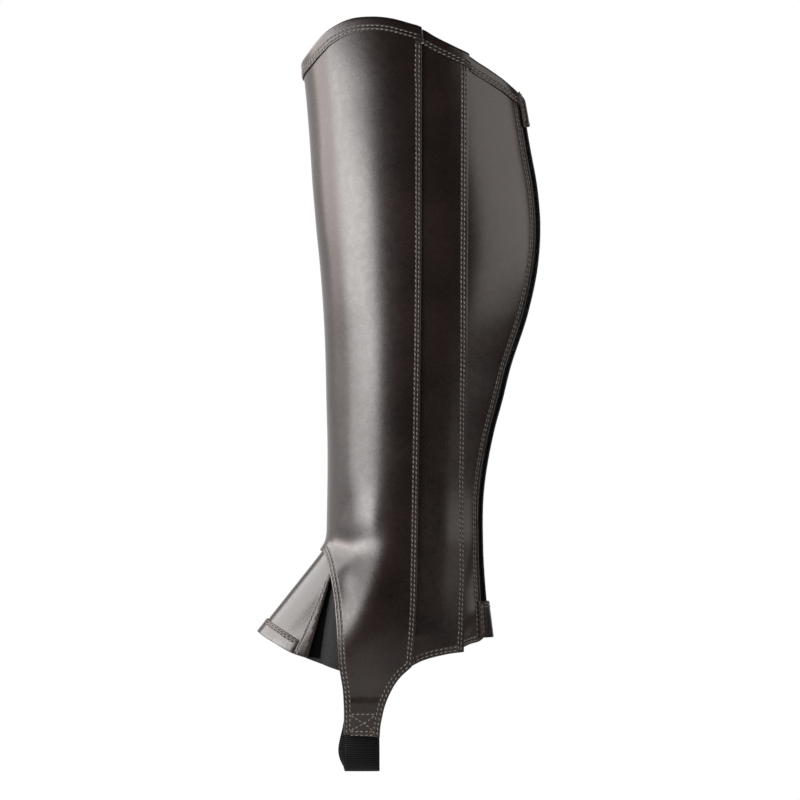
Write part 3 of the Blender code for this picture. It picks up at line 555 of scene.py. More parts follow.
def rowsNear(angles, heights, depths, seams, reach=20.0):
    # 0 on the first row of stitches beside an edge and 1 on the second, for points within reach of a seam
    points = legPoints(angles, heights, depths)
    rows = np.full(len(points), noRow)
    nearest = np.full(len(points), reach)
    for seam in seams:
        line = seam["line"]
        depth = seam["depth"](line[:, 0], line[:, 1])
        away = distanceTo(points, legPoints(line[:, 0], line[:, 1], depth), closed=False)
        first, second = seam["rows"]
        here = np.clip((away - first) / (second - first), -3, noRow)
        if seam["single"]:
            here = np.minimum(here, 0.5)
        rows = np.where(away < nearest, here, rows)
        nearest = np.minimum(nearest, away)
    return rows


def shell(name, outline, depth, thickness, finishNames, seams=(), spacing=2.4, rounding=0.35):
    # Sheet over an outline, with both faces and a rounded cut edge. depth gives its outer face.
    rounding = min(rounding, 0.4 * thickness)
    core = insetLine(outline, rounding)
    flat, faces = fillCut(core, spacing)
    arc = [(rounding * (1 - math.sin(t)), rounding * (1 - math.cos(t))) for t in np.radians((30, 60, 90))]
    rings = [(inset, -down) for inset, down in arc] + [(inset, down - thickness) for inset, down in arc[::-1]]
    layers = [(insetLine(outline, inset), drop) for inset, drop in rings]
    layers = [(flat, 0.0), *layers, (flat, -thickness)]
    sheet = np.vstack([layer for layer, _ in layers])
    drops = np.concatenate([np.full(len(layer), drop) for layer, drop in layers])
    angles, heights = sheet[:, 0] / mmPerDegree, sheet[:, 1]
    outer = depth(angles, heights)
    points = legPoints(angles, heights, outer + drops)
    edge, count = len(core), len(flat)
    starts = [0] + [count + i * edge for i in range(len(rings))] + [count + len(rings) * edge]
    walls, wallFinish = [], []
    for level, (a, b) in enumerate(zip(starts, starts[1:])):
        for i in range(edge):
            j = (i + 1) % edge
            walls.append((a + i, b + i, b + j, a + j))
            wallFinish.append(0 if level < 1 else 2 if level < len(starts) - 2 else 1)
    back = [tuple(i + starts[-1] for i in face[::-1]) for face in faces]
    finishOf = [0] * len(faces) + wallFinish + [1] * len(back)
    names = finishNames if len(finishNames) == 3 else (finishNames[0],) * 3
    rows = rowsNear(angles, heights, outer, seams) if seams else np.full(len(points), noRow)
    return addPiece("cut_" + name, points, faces + walls + back, names, finishOf, sheet, rows)


def finishPiece(piece, slot, *nodes):
    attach(piece, "root")
    if nodes:
        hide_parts(*nodes)


# Geometry Nodes: one small rounded bead on every point, laid along one direction and facing another
def beadTree():
    tree = bpy.data.node_groups.new("beads_on_points", "GeometryNodeTree")
    sizes = ("Length", "Width", "Height", "Bend")
    sockets = [("Geometry", "INPUT", "Geometry"), *((name, "INPUT", "Float") for name in sizes)]
    sockets += [("Finish", "INPUT", "Material"), ("Geometry", "OUTPUT", "Geometry")]
    for name, way, kind in sockets:
        tree.interface.new_socket(name, in_out=way, socket_type="NodeSocket" + kind)
    given = addNode(tree, "NodeGroupInput", output=None).outputs
    ball = addNode(tree, "GeometryNodeMeshUVSphere", {"Segments": 8, "Rings": 6, "Radius": 1.0})
    lying = addNode(tree, "GeometryNodeTransform", {"Geometry": ball, "Rotation": (0, math.pi / 2, 0)})
    place = addNode(tree, "GeometryNodeInputPosition")
    parts = addNode(tree, "ShaderNodeSeparateXYZ", (place,), None).outputs
    half = {}
    for name in sizes[:3]:
        half[name] = addNode(tree, "ShaderNodeMath", (given[name], 0.5), operation="MULTIPLY")
    # The half of the bead that a point lies in, -1 or 1, and 0 at its middle
    nudged = addNode(tree, "ShaderNodeMath", (parts[0], 0.005), operation="ADD")
    snapped = addNode(tree, "ShaderNodeMath", (nudged, 0.01), operation="SNAP")
    end = addNode(tree, "ShaderNodeMath", (snapped,), operation="SIGN")
    straightPart = addNode(tree, "ShaderNodeMath", (half["Length"], half["Width"]), operation="SUBTRACT")
    shift = addNode(tree, "ShaderNodeMath", (end, straightPart), operation="MULTIPLY")
    x = addNode(tree, "ShaderNodeMath", (parts[0], half["Width"], shift), operation="MULTIPLY_ADD")
    y = addNode(tree, "ShaderNodeMath", (parts[1], half["Width"]), operation="MULTIPLY")
    atEnd = addNode(tree, "ShaderNodeMath", (end,), operation="ABSOLUTE")
    dip = addNode(tree, "ShaderNodeMath", (atEnd, given["Bend"]), operation="MULTIPLY")
    tall = addNode(tree, "ShaderNodeMath", (parts[2], half["Height"]), operation="MULTIPLY")
    z = addNode(tree, "ShaderNodeMath", (tall, dip), operation="SUBTRACT")
    joined = addNode(tree, "ShaderNodeCombineXYZ", (x, y, z))
    bead = addNode(tree, "GeometryNodeSetPosition", {"Geometry": lying, "Position": joined})
    along, out = (addNode(tree, "GeometryNodeInputNamedAttribute", {"Name": name}, data_type="FLOAT_VECTOR")
                  for name in ("along", "out"))
    first = addNode(tree, "FunctionNodeAlignRotationToVector", {"Vector": along}, axis="X")
    turned = addNode(tree, "FunctionNodeAlignRotationToVector", {"Rotation": first, "Vector": out},
                     axis="Z", pivot_axis="X")
    inputs = {"Points": given["Geometry"], "Instance": bead, "Rotation": turned}
    placed = addNode(tree, "GeometryNodeInstanceOnPoints", inputs)
    real = addNode(tree, "GeometryNodeRealizeInstances", {"Geometry": placed})
    soft = addNode(tree, "GeometryNodeSetShadeSmooth", {"Geometry": real})
    finished = addNode(tree, "GeometryNodeSetMaterial", {"Geometry": soft, "Material": given["Finish"]})
    addNode(tree, "NodeGroupOutput", {"Geometry": finished}, None)
    return tree


beads = beadTree()


def beadPiece(name, points, along, out, sizes, finish):
    mesh = bpy.data.meshes.new(name + "_points")
    mesh.from_pydata([tuple(p) for p in np.asarray(points) * mm], [], [])
    for attribute, vectors in (("along", along), ("out", out)):
        mesh.attributes.new(attribute, "FLOAT_VECTOR", "POINT").data.foreach_set("vector", np.ravel(vectors))
    holder = addToScene(name + "_points", mesh)
    modifier = holder.modifiers.new("beads", "NODES")
    modifier.node_group = beads
    values = dict({key: value * mm for key, value in sizes.items()}, Finish=finishes[finish])
    for item in beads.interface.items_tree:
        if item.in_out == "INPUT" and item.name in values:
            modifier[item.identifier] = values[item.name]
    shown = holder.evaluated_get(bpy.context.evaluated_depsgraph_get())
    piece = addToScene(name, bpy.data.meshes.new_from_object(shown))
    bpy.data.objects.remove(holder)
    return piece


def metricMove(line, depth, distance):
    # A line on the leg moved sideways by true millimetres, to the left of its direction seen from outside
    def at(angle, height):
        return legPoints(angle, height, depth(angle, height))

    angles, heights = line[:, 0], line[:, 1]
    step = 0.2
    perDegree = (at(angles + step, heights) - at(angles - step, heights)) / (2 * step)
    perMm = (at(angles, heights + step) - at(angles, heights - step)) / (2 * step)
    tangent = unit(np.gradient(at(angles, heights), axis=0))
    aside = np.cross(unit(np.cross(perDegree, perMm)), tangent) * distance
    aa, ah, hh = (perDegree ** 2).sum(1), (perDegree * perMm).sum(1), (perMm ** 2).sum(1)
    va, vh = (perDegree * aside).sum(1), (perMm * aside).sum(1)
    scale = aa * hh - ah ** 2
    return np.stack([angles + (va * hh - vh * ah) / scale, heights + (vh * aa - va * ah) / scale], axis=1)


# Thread that shows of each stitch, how far apart they are, how much they slant in degrees, and how much
# further on the second row's lie
stitch = {"sizes": {"Length": 2.1, "Width": 0.62, "Height": 0.6, "Bend": 0.18}, "pitch": 3.5, "lift": 0.15,
          "slant": 12.0, "unevenSlant": 2.0, "secondRow": 0.18}


def seamAt(line, depth, rows, side, trim=(1.0, 1.0), single=False):
    # Rows of stitches at two distances from a line, on its left where side is 1. trim is cut off its ends
    return {"line": line, "depth": depth, "rows": rows, "side": side, "trim": trim, "single": single}


class Rows:
    # Collects the places of stitches for one piece of sewing
    def __init__(self):
        self.points, self.along, self.out = [], [], []

    def add(self, line, depth, trim=(1.0, 1.0), phase=0.0):
        angles, heights = line[:, 0], line[:, 1]
        path = legPoints(angles, heights, depth(angles, heights) + stitch["lift"])
        run = runAlong(path)
        length = run[-1] - trim[0] - trim[1]
        count = max(1, int(round(length / stitch["pitch"])))
        places = trim[0] + (np.arange(count) + 0.5 + phase) * length / count
        spots, ahead, behind = (
            np.stack([np.interp(places + step, run, path[:, i]) for i in range(3)], axis=1)
            for step in (0.0, 0.8, -0.8)
        )
        tangent = unit(ahead - behind)
        a, h = np.interp(places, run, angles), np.interp(places, run, heights)
        facing = outward(lambda u, v: legPoints(u, v, depth(u, v)), a, h)
        aside = np.cross(facing, tangent)
        slant = stitch["slant"] + stitch["unevenSlant"] * np.sin(np.arange(count) * 2.4)
        turn = np.radians(slant)[:, None]
        self.points += list(spots)
        self.along += list(tangent * np.cos(turn) + aside * np.sin(turn))
        self.out += list(facing)

    def sew(self, seams):
        for seam in seams:
            for number, distance in enumerate(seam["rows"][:1] if seam["single"] else seam["rows"]):
                moved = metricMove(seam["line"], seam["depth"], seam["side"] * distance)
                self.add(moved, seam["depth"], seam["trim"], stitch["secondRow"] * number)

    def finish(self, name):
        piece = beadPiece(name, self.points, self.along, self.out, stitch["sizes"], "thread")
        finishPiece(piece, "brown_leather")


# Panels
lap = {"reach": 9.0, "start": 9.5, "shinRamp": 45.0, "stripRamp": 26.0, "lift": 0.6, "liftRamp": 12.0,
       "hemClearance": 4.0, "seamTurn": 0.2}
band = {"width": 9.0, "rows": (5.3, 7.7), "clearance": 0.4,       # the binding folded over the top edge
        "foldStart": -0.75, "foldHeight": 1.95, "ringStep": 1.2, "ringSpacing": 1.35}
stepDrops = {"shin_panel": 0.0, "side_strip": 1.2, "calf_panel_outer": 2.2, "calf_panel_inner": 1.2}


def finishSheet(piece, slot):
    finishPiece(piece, slot, piece.name.removeprefix("cut_"))


def stitchedSheet(sewing, name, outline, rise, seams, thickness=leather, spacing=2.4):
    finishSheet(shell(name, outline, rise, thickness, leatherFaces, seams, spacing), "brown_leather")
    sewing.sew(seams)


def lapRise(edge, side, ramp):
    # A panel's edge stands up where it lies over the next panel
    def rise(angle, height):
        beforeEdge = (edgeAngle(edge, height, side) - angle) * side * mmPerDegree
        return (leather + gap) * (1 - softStep(beforeEdge, lap["start"], lap["start"] + ramp))
    return rise


riseOuterSeam = lapRise(frontSeam, 1, lap["shinRamp"])
riseInnerSeam = lapRise(frontSeam, -1, lap["shinRamp"])
stripLap = lapRise(rearSeam, 1, lap["stripRamp"])


def stripRise(angle, height):
    # The strip's rear edge stands a little off the panel below it
    beforeEdge = (edgeAngle(rearSeam, height) - angle) * mmPerDegree
    return stripLap(angle, height) + lap["lift"] * (1 - softStep(beforeEdge, 0.0, lap["liftRamp"]))


def shinRise(angle, height):
    return np.where(np.asarray(angle) > 0, riseOuterSeam(angle, height), riseInnerSeam(angle, height))


def flatRise(angle, height):
    return np.zeros(np.shape(angle))


shinPanel = {
    "cutOutTop": -231.6,
    "tabAndArch": ((-365.2, -35.4), (-359.8, -35.2), (-349.2, -33.4), (-344.2, -32.2), (-333.4, -27.9),
                   (-325.6, -23.6), (-320.5, -19.3), (-316.7, -15), (-314.5, -12.7)),
    "seamRows": (1.6, 3.8),
    "edgeRows": (1.9, 4.4),
    # box and cross that hold the elastic behind each tab: places, heights, and how much each end leaves free
    "tabBox": (
        ((-57.0, -38.0), (-348.5, -348.5), 0.6), ((-57.0, -39.5), (-361.0, -361.0), 0.3),
        ((-57.0, -39.5), (-363.6, -363.6), 0.3), ((-56.6, -39.8), (-349.0, -360.6), 0.6),
        ((-38.6, -56.8), (-349.0, -360.6), 0.6),
    ),
}


def makeShinPanel():
    outerAngle, outerTop = seamTop(frontSeam)
    innerAngle, innerTop = seamTop(frontSeam, -1)
    seamLow = shinPanel["tabAndArch"][-1][0]
    seamLines, archLines, cutOut = {}, {}, {}
    for side, high in ((1, outerTop), (-1, innerTop)):
        seamLines[side] = upEdge(frontSeam, seamLow, high, side)
        archLines[side] = curveThrough(hemPoints(shinPanel["tabAndArch"], side), 1.6)
        cutOut[side] = hemPoints(cutOutEdge, side)
    opening = curveThrough([*cutOut[1], (0.0, shinPanel["cutOutTop"]), *cutOut[-1][::-1]], 1.6)
    outline = outlineOf(
        alongTop(innerAngle, outerAngle), seamLines[1][::-1], archLines[1][::-1], opening,
        archLines[-1], seamLines[-1],
    )
    seams = []
    for side in (1, -1):
        seams.append(seamAt(seamLines[side], shinRise, shinPanel["seamRows"], side, (0.5, 11.0)))
        seams.append(seamAt(archLines[side], shinRise, shinPanel["edgeRows"], side, (1.0, 1.5)))
    seams.append(seamAt(opening, shinRise, shinPanel["edgeRows"], -1))
    sewing = Rows()
    stitchedSheet(sewing, "shin_panel", outline, shinRise, seams)
    for side in (1, -1):
        for places, heights, trim in shinPanel["tabBox"]:
            ends = [(float(angleAt(p, h, side)), h) for p, h in zip(places, heights)]
            sewing.add(straight(*ends), shinRise, (trim, trim))
    sewing.finish("stitches_shin_panel")


def bandClearance(angle, drop):
    # How much lower a lapped margin ends, so that the binding's inner leg passes it
    slope = float(topHeight(angle + 0.5) - topHeight(angle - 0.5)) / mmPerDegree
    return band["width"] * math.hypot(1, slope) + band["clearance"] - drop


def lappedOutline(edge, side, rest, hem, drop):
    # Outline of a panel whose front margin lies under its neighbour
    cornerAngle, cornerHeight = seamTop(edge, side)
    cornerAngle += side * lap["seamTurn"]
    cornerHeight -= drop
    marginTop = cornerHeight - bandClearance(cornerAngle, drop)
    margin = upEdge(edge, hem[0][1] + lap["hemClearance"], marginTop, side, -lap["reach"])
    return outlineOf(margin, [(cornerAngle, marginTop), (cornerAngle, cornerHeight)], rest, hem[::-1])


sideStrip = {
    "hem": ((-314.5, -12.7), (-311.2, -6.5), (-309, -0.5), (-307, 7), (-305.4, 15), (-304.4, 24)),
    "seamRows": (2.5, 4.6),
    "hemRows": (1.9, 4.4),
}


def makeSideStrip():
    drop = stepDrops["side_strip"]
    rearAngle, rearHeight = seamTop(rearSeam)
    top = alongTop(seamTop(frontSeam)[0] + lap["seamTurn"], rearAngle, drop)
    down = upEdge(rearSeam, sideStrip["hem"][-1][0], rearHeight - drop)[::-1]
    hem = curveThrough(hemPoints(sideStrip["hem"]))
    outline = lappedOutline(frontSeam, 1, np.vstack([top[1:], down]), hem, drop)
    seams = [
        seamAt(down[::-1], stripRise, sideStrip["seamRows"], 1, (1.0, 11.0)),
        seamAt(hem, stripRise, sideStrip["hemRows"], 1, (0.8, 5.2)),
    ]
    sewing = Rows()
    stitchedSheet(sewing, "side_strip", outline, stripRise, seams)
    sewing.finish("stitches_side_strip")


calfPanel = {
    "hem": ((-301.6, 24.1), (-299.3, 28.9), (-296.9, 36.6)),
    "zipEdge": 13.0,
    "zipBottom": -295.0,
    "zipRows": (4.4, 6.6),
    "hemRows": (1.9, 4.4),
}


def makeCalfPanel(name, edge, side, hem):
    drop = stepDrops[name]
    zipCorner = side * float(zipAngle(calfPanel["zipEdge"], mouthAtZip))
    top = alongTop(seamTop(edge, side)[0] + side * lap["seamTurn"], zipCorner, drop)
    down = upZip(calfPanel["zipEdge"], calfPanel["zipBottom"], top[-1][1], side)[::-1]
    hemLine = curveThrough(np.vstack([hemPoints(hem, side), down[-1:]]))
    outline = lappedOutline(edge, side, np.vstack([top[1:], down]), hemLine, drop)
    seams = [
        seamAt(down[::-1], flatRise, calfPanel["zipRows"], side, (1.0, 11.0)),
        seamAt(hemLine, flatRise, calfPanel["hemRows"], side, (0.8, 7.4)),
    ]
    sewing = Rows()
    stitchedSheet(sewing, name, outline, flatRise, seams)
    sewing.finish("stitches_" + name)


makeShinPanel()
makeSideStrip()
makeCalfPanel("calf_panel_outer", rearSeam, 1, calfPanel["hem"])
makeCalfPanel("calf_panel_inner", frontSeam, -1, sideStrip["hem"][:-1] + calfPanel["hem"][1:])
print("panels made")


# Binding over the top edge
def makeTopBand(name, start, end, rise, drop, seamSide):
    outer, inner = gap, -leather - gap
    outFace, inFace = outer + bindingLeather, inner - bindingLeather
    middle, half = (outFace + inFace) / 2, (outFace - inFace) / 2
    low = -band["width"]
    fold = [(middle + half * math.cos(t), band["foldStart"] + band["foldHeight"] * math.sin(t))
            for t in np.linspace(0, math.pi, 13)]
    profile = [
        (outer + 0.1, low), (outFace - 0.25, low), (outFace - 0.06, low + 0.12), (outFace, low + 0.35),
        (outFace, low * 0.72), (outFace, low * 0.45), (outFace, low * 0.2), *fold,
        (inFace, low * 0.2), (inFace, low * 0.6), (inFace, low + 0.3), (inFace + 0.25, low),
        (inner - 0.1, low), (inner, low + 0.3), (inner, gap), (outer, gap), (outer, low + 0.3),
    ]
    angles = np.linspace(start, end, max(3, int(abs(end - start) / band["ringStep"])))
    slopes = (topHeight(angles + 0.5) - topHeight(angles - 0.5)) / mmPerDegree
    stretch = np.hypot(1, slopes)
    depths, ups = (np.array(column) for column in zip(*profile))
    rings = []
    for angle, tall in zip(angles, stretch):
        heights = float(topHeight(angle)) - drop + ups * tall
        level = np.full(len(ups), angle)
        rings.append(legPoints(level, heights, depths + rise(level, heights)))
    size, count = len(profile), len(rings)
    faces = []
    for ring in range(count - 1):
        for i in range(size):
            a, b = ring * size + i, ring * size + (i + 1) % size
            faces.append((a, a + size, b + size, b) if end > start else (a, b, b + size, a + size))
    caps = [tuple(range(size)), tuple(range((count - 1) * size, count * size))[::-1]]
    caps = caps if end > start else [cap[::-1] for cap in caps]
    run = np.arange(count)[:, None] * np.ones(size) * band["ringSpacing"]
    around = np.cumsum(np.concatenate([[0], np.hypot(np.diff(depths), np.diff(ups))]))
    uv = np.stack([run.ravel(), np.tile(around, count)], axis=1)
    ringRows = (-ups - band["rows"][0]) / (band["rows"][1] - band["rows"][0])
    ringRows[depths < outFace - 0.3] = noRow
    points, stitchRows = np.vstack(rings), np.tile(ringRows, count)
    piece = addPiece("cut_" + name, points, faces + caps, ("leather",), None, uv, stitchRows, sharp=30)
    finishSheet(piece, "brown_leather")

    def onBand(angle, height):
        return rise(angle, height) + outFace

    return seamAt(alongTop(start, end, drop), onBand, band["rows"], seamSide, (0.8, 0.8))


def makeTopBands():
    outerFront, outerRear = seamTop(frontSeam)[0], seamTop(rearSeam)[0]
    innerFront = seamTop(frontSeam, -1)[0]
    zipCorner = float(zipAngle(calfPanel["zipEdge"], mouthAtZip))
    clear = 1.2 * gap / mmPerDegree + 0.05       # degrees between neighbouring bands
    sewing = Rows()
    for name, start, end, rise, panel, side in (
        ("top_band_shin", innerFront, outerFront, shinRise, "shin_panel", -1),
        ("top_band_strip", outerFront + clear, outerRear, stripRise, "side_strip", -1),
        ("top_band_calf_outer", outerRear + clear, zipCorner, flatRise, "calf_panel_outer", -1),
        ("top_band_calf_inner", innerFront - clear, -zipCorner, flatRise, "calf_panel_inner", 1),
    ):
        sewing.sew([makeTopBand(name, start, end, rise, stepDrops[panel], side)])
    sewing.finish("stitches_top_bands")


makeTopBands()
print("top bands made")


# Instep flap and its trim
flapDepth = -leather - gap
backingDepth = flapDepth - leather - gap
gussetDepth = backingDepth - tapeThickness - gap
flap = {
    "hem": ((0, -289.7), (10, -290.4), (22, -292.9), (37, -298.1), (45, -302), (52, -305.6), (59.2, -308.6)),
    "margin": ((0, -220), (20, -225), (34, -234), (41, -241.5)),
    "edgeTop": -243.0,
    "hemBand": 9.4,
    "slit": 1.2,
    "edgingLift": 0.4,
    "edgingTop": -253.5,
    "edgingWidths": ((-309, 8.5), (-250, 3)),
    # how far the black backing shows past the flap's rear edge, by height: a painted shadow under the flap's
    # edge
    "backingShadowMargins": ((-309, 6), (-250, 1.2)),
}
flapLow = flap["hem"][-1][1]
noWidth = ((-400, 0), (0, 0))


def flapHemHeight(angle):
    return looked(flap["hem"], np.abs(angle))


def flapRear(side, low, high, widths=noWidth, sign=-1):
    heights = heightsBetween(low, high)
    shift = sign * byHeight(widths, heights)
    return np.stack([edgeAngle(flapEdge, heights, side) + side * shift / mmPerDegree, heights], axis=1)


def flapOutline(widths=noWidth, sign=-1):
    runs = []
    for side in (1, -1):
        margin = np.array([(side * angle, height) for angle, height in flap["margin"]])
        rear = flapRear(side, flapLow, flap["edgeTop"], widths, sign)[::-1]
        hem = np.array([(side * angle, height) for angle, height in flap["hem"][:-1]])[::-1]
        hem = curveThrough(np.vstack([rear[-1:], hem]))
        half = np.vstack([margin, rear, hem])
        runs.append(half if side == 1 else half[::-1])
    return outlineOf(*runs)


def constant(depth):
    return lambda angle, height: np.full(np.shape(angle), depth)


def makeFlap():
    onTrim = flapDepth + gap + bindingLeather
    sewing = Rows()
    stitchedSheet(sewing, "instep_flap", flapOutline(), constant(flapDepth), ())
    # The backing's black margin past the flap's rear edge, widening downwards, is a painted shadow under the
    # flap's edge
    outline = flapOutline(flap["backingShadowMargins"], 1)
    backing = shell("flap_backing", outline, constant(backingDepth), tapeThickness, ("blackClothAndPaintedShadow",))
    finishSheet(backing, "black_cloth")
    front = float(edgeAngle(flapEdge, flapLow)) - float(byHeight(flap["edgingWidths"], flapLow)) / mmPerDegree
    for side, name in ((1, "flap_edging_outer"), (-1, "flap_edging_inner")):
        rear = flapRear(side, flapLow, flap["edgingTop"])
        low = float(flapHemHeight(front)) + flap["edgingLift"]
        ahead = flapRear(side, low, flap["edgingTop"], flap["edgingWidths"])
        seams = [seamAt(ahead, constant(onTrim), (1.5, 3.7), -side, (1.0, 3.0), single=True)]
        outline = outlineOf(rear, ahead[::-1])
        stitchedSheet(sewing, name, outline, constant(onTrim), seams, bindingLeather, 1.8)
    end = front - flap["slit"] / mmPerDegree
    angles = np.linspace(-end, end, 90)
    lower = np.stack([angles, flapHemHeight(angles)], axis=1)
    upper = lower + (0, flap["hemBand"])
    seams = [seamAt(upper, constant(onTrim), (1.3, 3.1), -1, (1.2, 1.2))]
    outline = outlineOf(lower, upper[::-1])
    stitchedSheet(sewing, "flap_hem_band", outline, constant(onTrim), seams, bindingLeather, 1.8)
    sewing.finish("stitches_flap")


# Elastic wedges beside the flap
gusset = {"top": -251.0, "hem": ((52.6, -305.4), (66, -312.4), (81, -320.7)), "tuck": 6.0, "ramp": (0.8, 6.0)}


def makeGussets():
    def rise(angle, height):
        behind = (np.abs(angle) - edgeAngle(flapEdge, height)) * mmPerDegree
        past = behind - byHeight(flap["backingShadowMargins"], height)
        return gussetDepth + (flapDepth - gussetDepth) * softStep(past, *gusset["ramp"])

    for side, name in ((1, "gusset_outer"), (-1, "gusset_inner")):
        tuck = ((-400, gusset["tuck"]), (0, gusset["tuck"]))
        ahead = flapRear(side, gusset["hem"][0][1], gusset["top"], tuck)
        behind = upEdge(cutOutEdge, gusset["hem"][-1][1], gusset["top"], side, gusset["tuck"])
        hem = curveThrough([(side * angle, height) for angle, height in gusset["hem"]])
        outline = outlineOf(ahead[1:], behind[::-1], hem[::-1])
        finishSheet(shell(name, outline, rise, elasticThickness, ("greyElastic",)), "grey_elastic")


makeFlap()
makeGussets()
print("flap and gussets made")


# Foot strap
strap = {"front": -60.9, "back": -35.5, "top": -346.0, "bottom": -390.0, "corner": 15.0, "bow": 4.7,
         "tabBottom": -364.2, "selvedge": 0.8, "thinning": 0.3, "ribPitch": 1.5, "ribFree": 1.0}
ribSizes = {"Length": 25.0, "Width": 1.3, "Height": 0.8, "Bend": 0.0}


def makeFootStrap():
    rowsAcross = 13
    places = np.linspace(strap["front"], strap["back"], rowsAcross)
    depth = -leather - gap

    def behindTab(height, inward):
        level = np.full(rowsAcross, height)
        return legPoints(angleAt(places, level), level, depth - inward)

    def run(side, bow):
        pairs = []
        for height in np.linspace(strap["top"], strap["tabBottom"], 13):      # sewn behind the tab
            pairs.append((behindTab(height, 0.0), behindTab(height, elasticThickness)))
        outer, inner = pairs[-1]
        drop = strap["bottom"] + strap["corner"]
        for height in np.linspace(strap["tabBottom"], drop, 8)[1:]:           # down to the corner
            share = (strap["tabBottom"] - height) / (strap["tabBottom"] - drop)
            out = outer.copy()
            out[:, 1] = outer[:, 1] + (places - outer[:, 1]) * share
            out[:, 2] = height
            into = out + (inner - outer)
            into[:, 2] = height
            pairs.append((out, into))
        for turn in np.radians(np.linspace(0, 90, 15))[1:]:                   # round the corner
            out = outer.copy()
            out[:, 0] -= strap["corner"] * (1 - np.cos(turn))
            out[:, 1] = places
            out[:, 2] = drop - strap["corner"] * np.sin(turn)
            into = out.copy()
            into[:, 0] -= (outer - inner)[:, 0] * np.cos(turn)
            into[:, 2] += elasticThickness * np.sin(turn)
            pairs.append((out, into))
        last = pairs[-1]
        for share in np.linspace(0, 1, 9)[1:]:                                # flat to the middle
            pairs.append(tuple(part * (1 - share, 1, 1) for part in last))
        rings = []
        for out, into in pairs:
            ring = np.stack([out, into]) * (side, 1, 1)
            fall = (strap["top"] - ring[..., 2]) / (strap["top"] - strap["bottom"])
            ring[..., 1] -= bow * np.sin(np.pi * fall ** 2)
            rings.append(ring)
        return rings

    rings = run(1, 0.0) + run(-1, strap["bow"])[::-1][1:]
    outerFace, innerFace = (np.array([ring[i] for ring in rings]) for i in (0, 1))
    runLength = runAlong(outerFace.mean(axis=1))
    across = np.abs(places - places.mean())
    thin = np.clip((across - across.max()) / strap["selvedge"] + 1, 0, 1)[None, :, None] * strap["thinning"]
    middle = (outerFace + innerFace) / 2
    outerFace = outerFace + (middle - outerFace) * thin
    innerFace = innerFace + (middle - innerFace) * thin
    count = len(rings)
    points, uv = [], []
    for i in range(count):
        loop = np.vstack([outerFace[i], innerFace[i][::-1]])
        points.append(loop)
        uv += [(p[1], runLength[i]) for p in loop]
    size = 2 * rowsAcross
    faces = [tuple(range(size)), tuple(range((count - 1) * size, count * size))[::-1]]
    for ring in range(count - 1):
        for i in range(size):
            a, b = ring * size + i, ring * size + (i + 1) % size
            faces.append((a, b, b + size, a + size))
    faces = [face[::-1] for face in faces]
    piece = addPiece("cut_foot_strap", np.vstack(points), faces, ("strapElastic",), None, uv)
    finishPiece(piece, "black_elastic", "foot_strap")

    spots, along, out = [], [], []
    centre = middle.mean(axis=1)
    lengths = runAlong(centre)

    def pointAt(line, place):
        return np.array([np.interp(place, lengths, line[:, k]) for k in range(3)])

    for face in (outerFace, innerFace):
        for place in np.arange(strap["ribFree"], lengths[-1] - strap["ribFree"], strap["ribPitch"]):
            near, spot, far = (pointAt(face[:, j], place) for j in (1, 6, 11))
            spots.append(spot)
            along.append(unit(far - near))
            out.append(unit(spot - pointAt(centre, place)))
    ribs = beadPiece("foot_strap_ribs", spots, along, out, ribSizes, "rib")
    finishPiece(ribs, "black_elastic")


makeFootStrap()
print("foot strap made")


# Zip
zipSizes = {"tapeReach": 17.0, "shoulderReach": 12.4, "tapeTop": 94.5, "shoulder": 85.0, "tapeBottom": -293.0,
            "coilTop": 80.0, "coilBottom": -290.5, "coilDepth": 0.6, "sliderThickness": 2.1,
            "pullThickness": 0.5}
teeth = {"sizes": {"Length": 3.2, "Width": 1.0, "Height": 2.3, "Bend": 0.02}, "pitch": 1.5, "place": 1.35,
         "depth": -0.6, "slant": 0.16}
cord = {"reach": 2.5, "depth": -0.5, "thickness": 1.2}        # what the coil is wound round
sliderPlan = (
    (4.3, 89.0), (3.4, 90.3), (0, 90.4), (-3.4, 90.3), (-4.3, 89.0), (-4.2, 85.5), (-3.3, 81.4), (-2.2, 80.5),
    (0, 80.5), (2.2, 80.5), (3.3, 81.4), (4.2, 85.5),
)
pullPlan = (
    (1.5, 86.6), (0, 86.9), (-1.5, 86.6), (-1.7, 80.0), (-2.3, 75.5), (-1.7, 73.6), (0, 73.1), (1.7, 73.6),
    (2.3, 75.5), (1.7, 80.0),
)


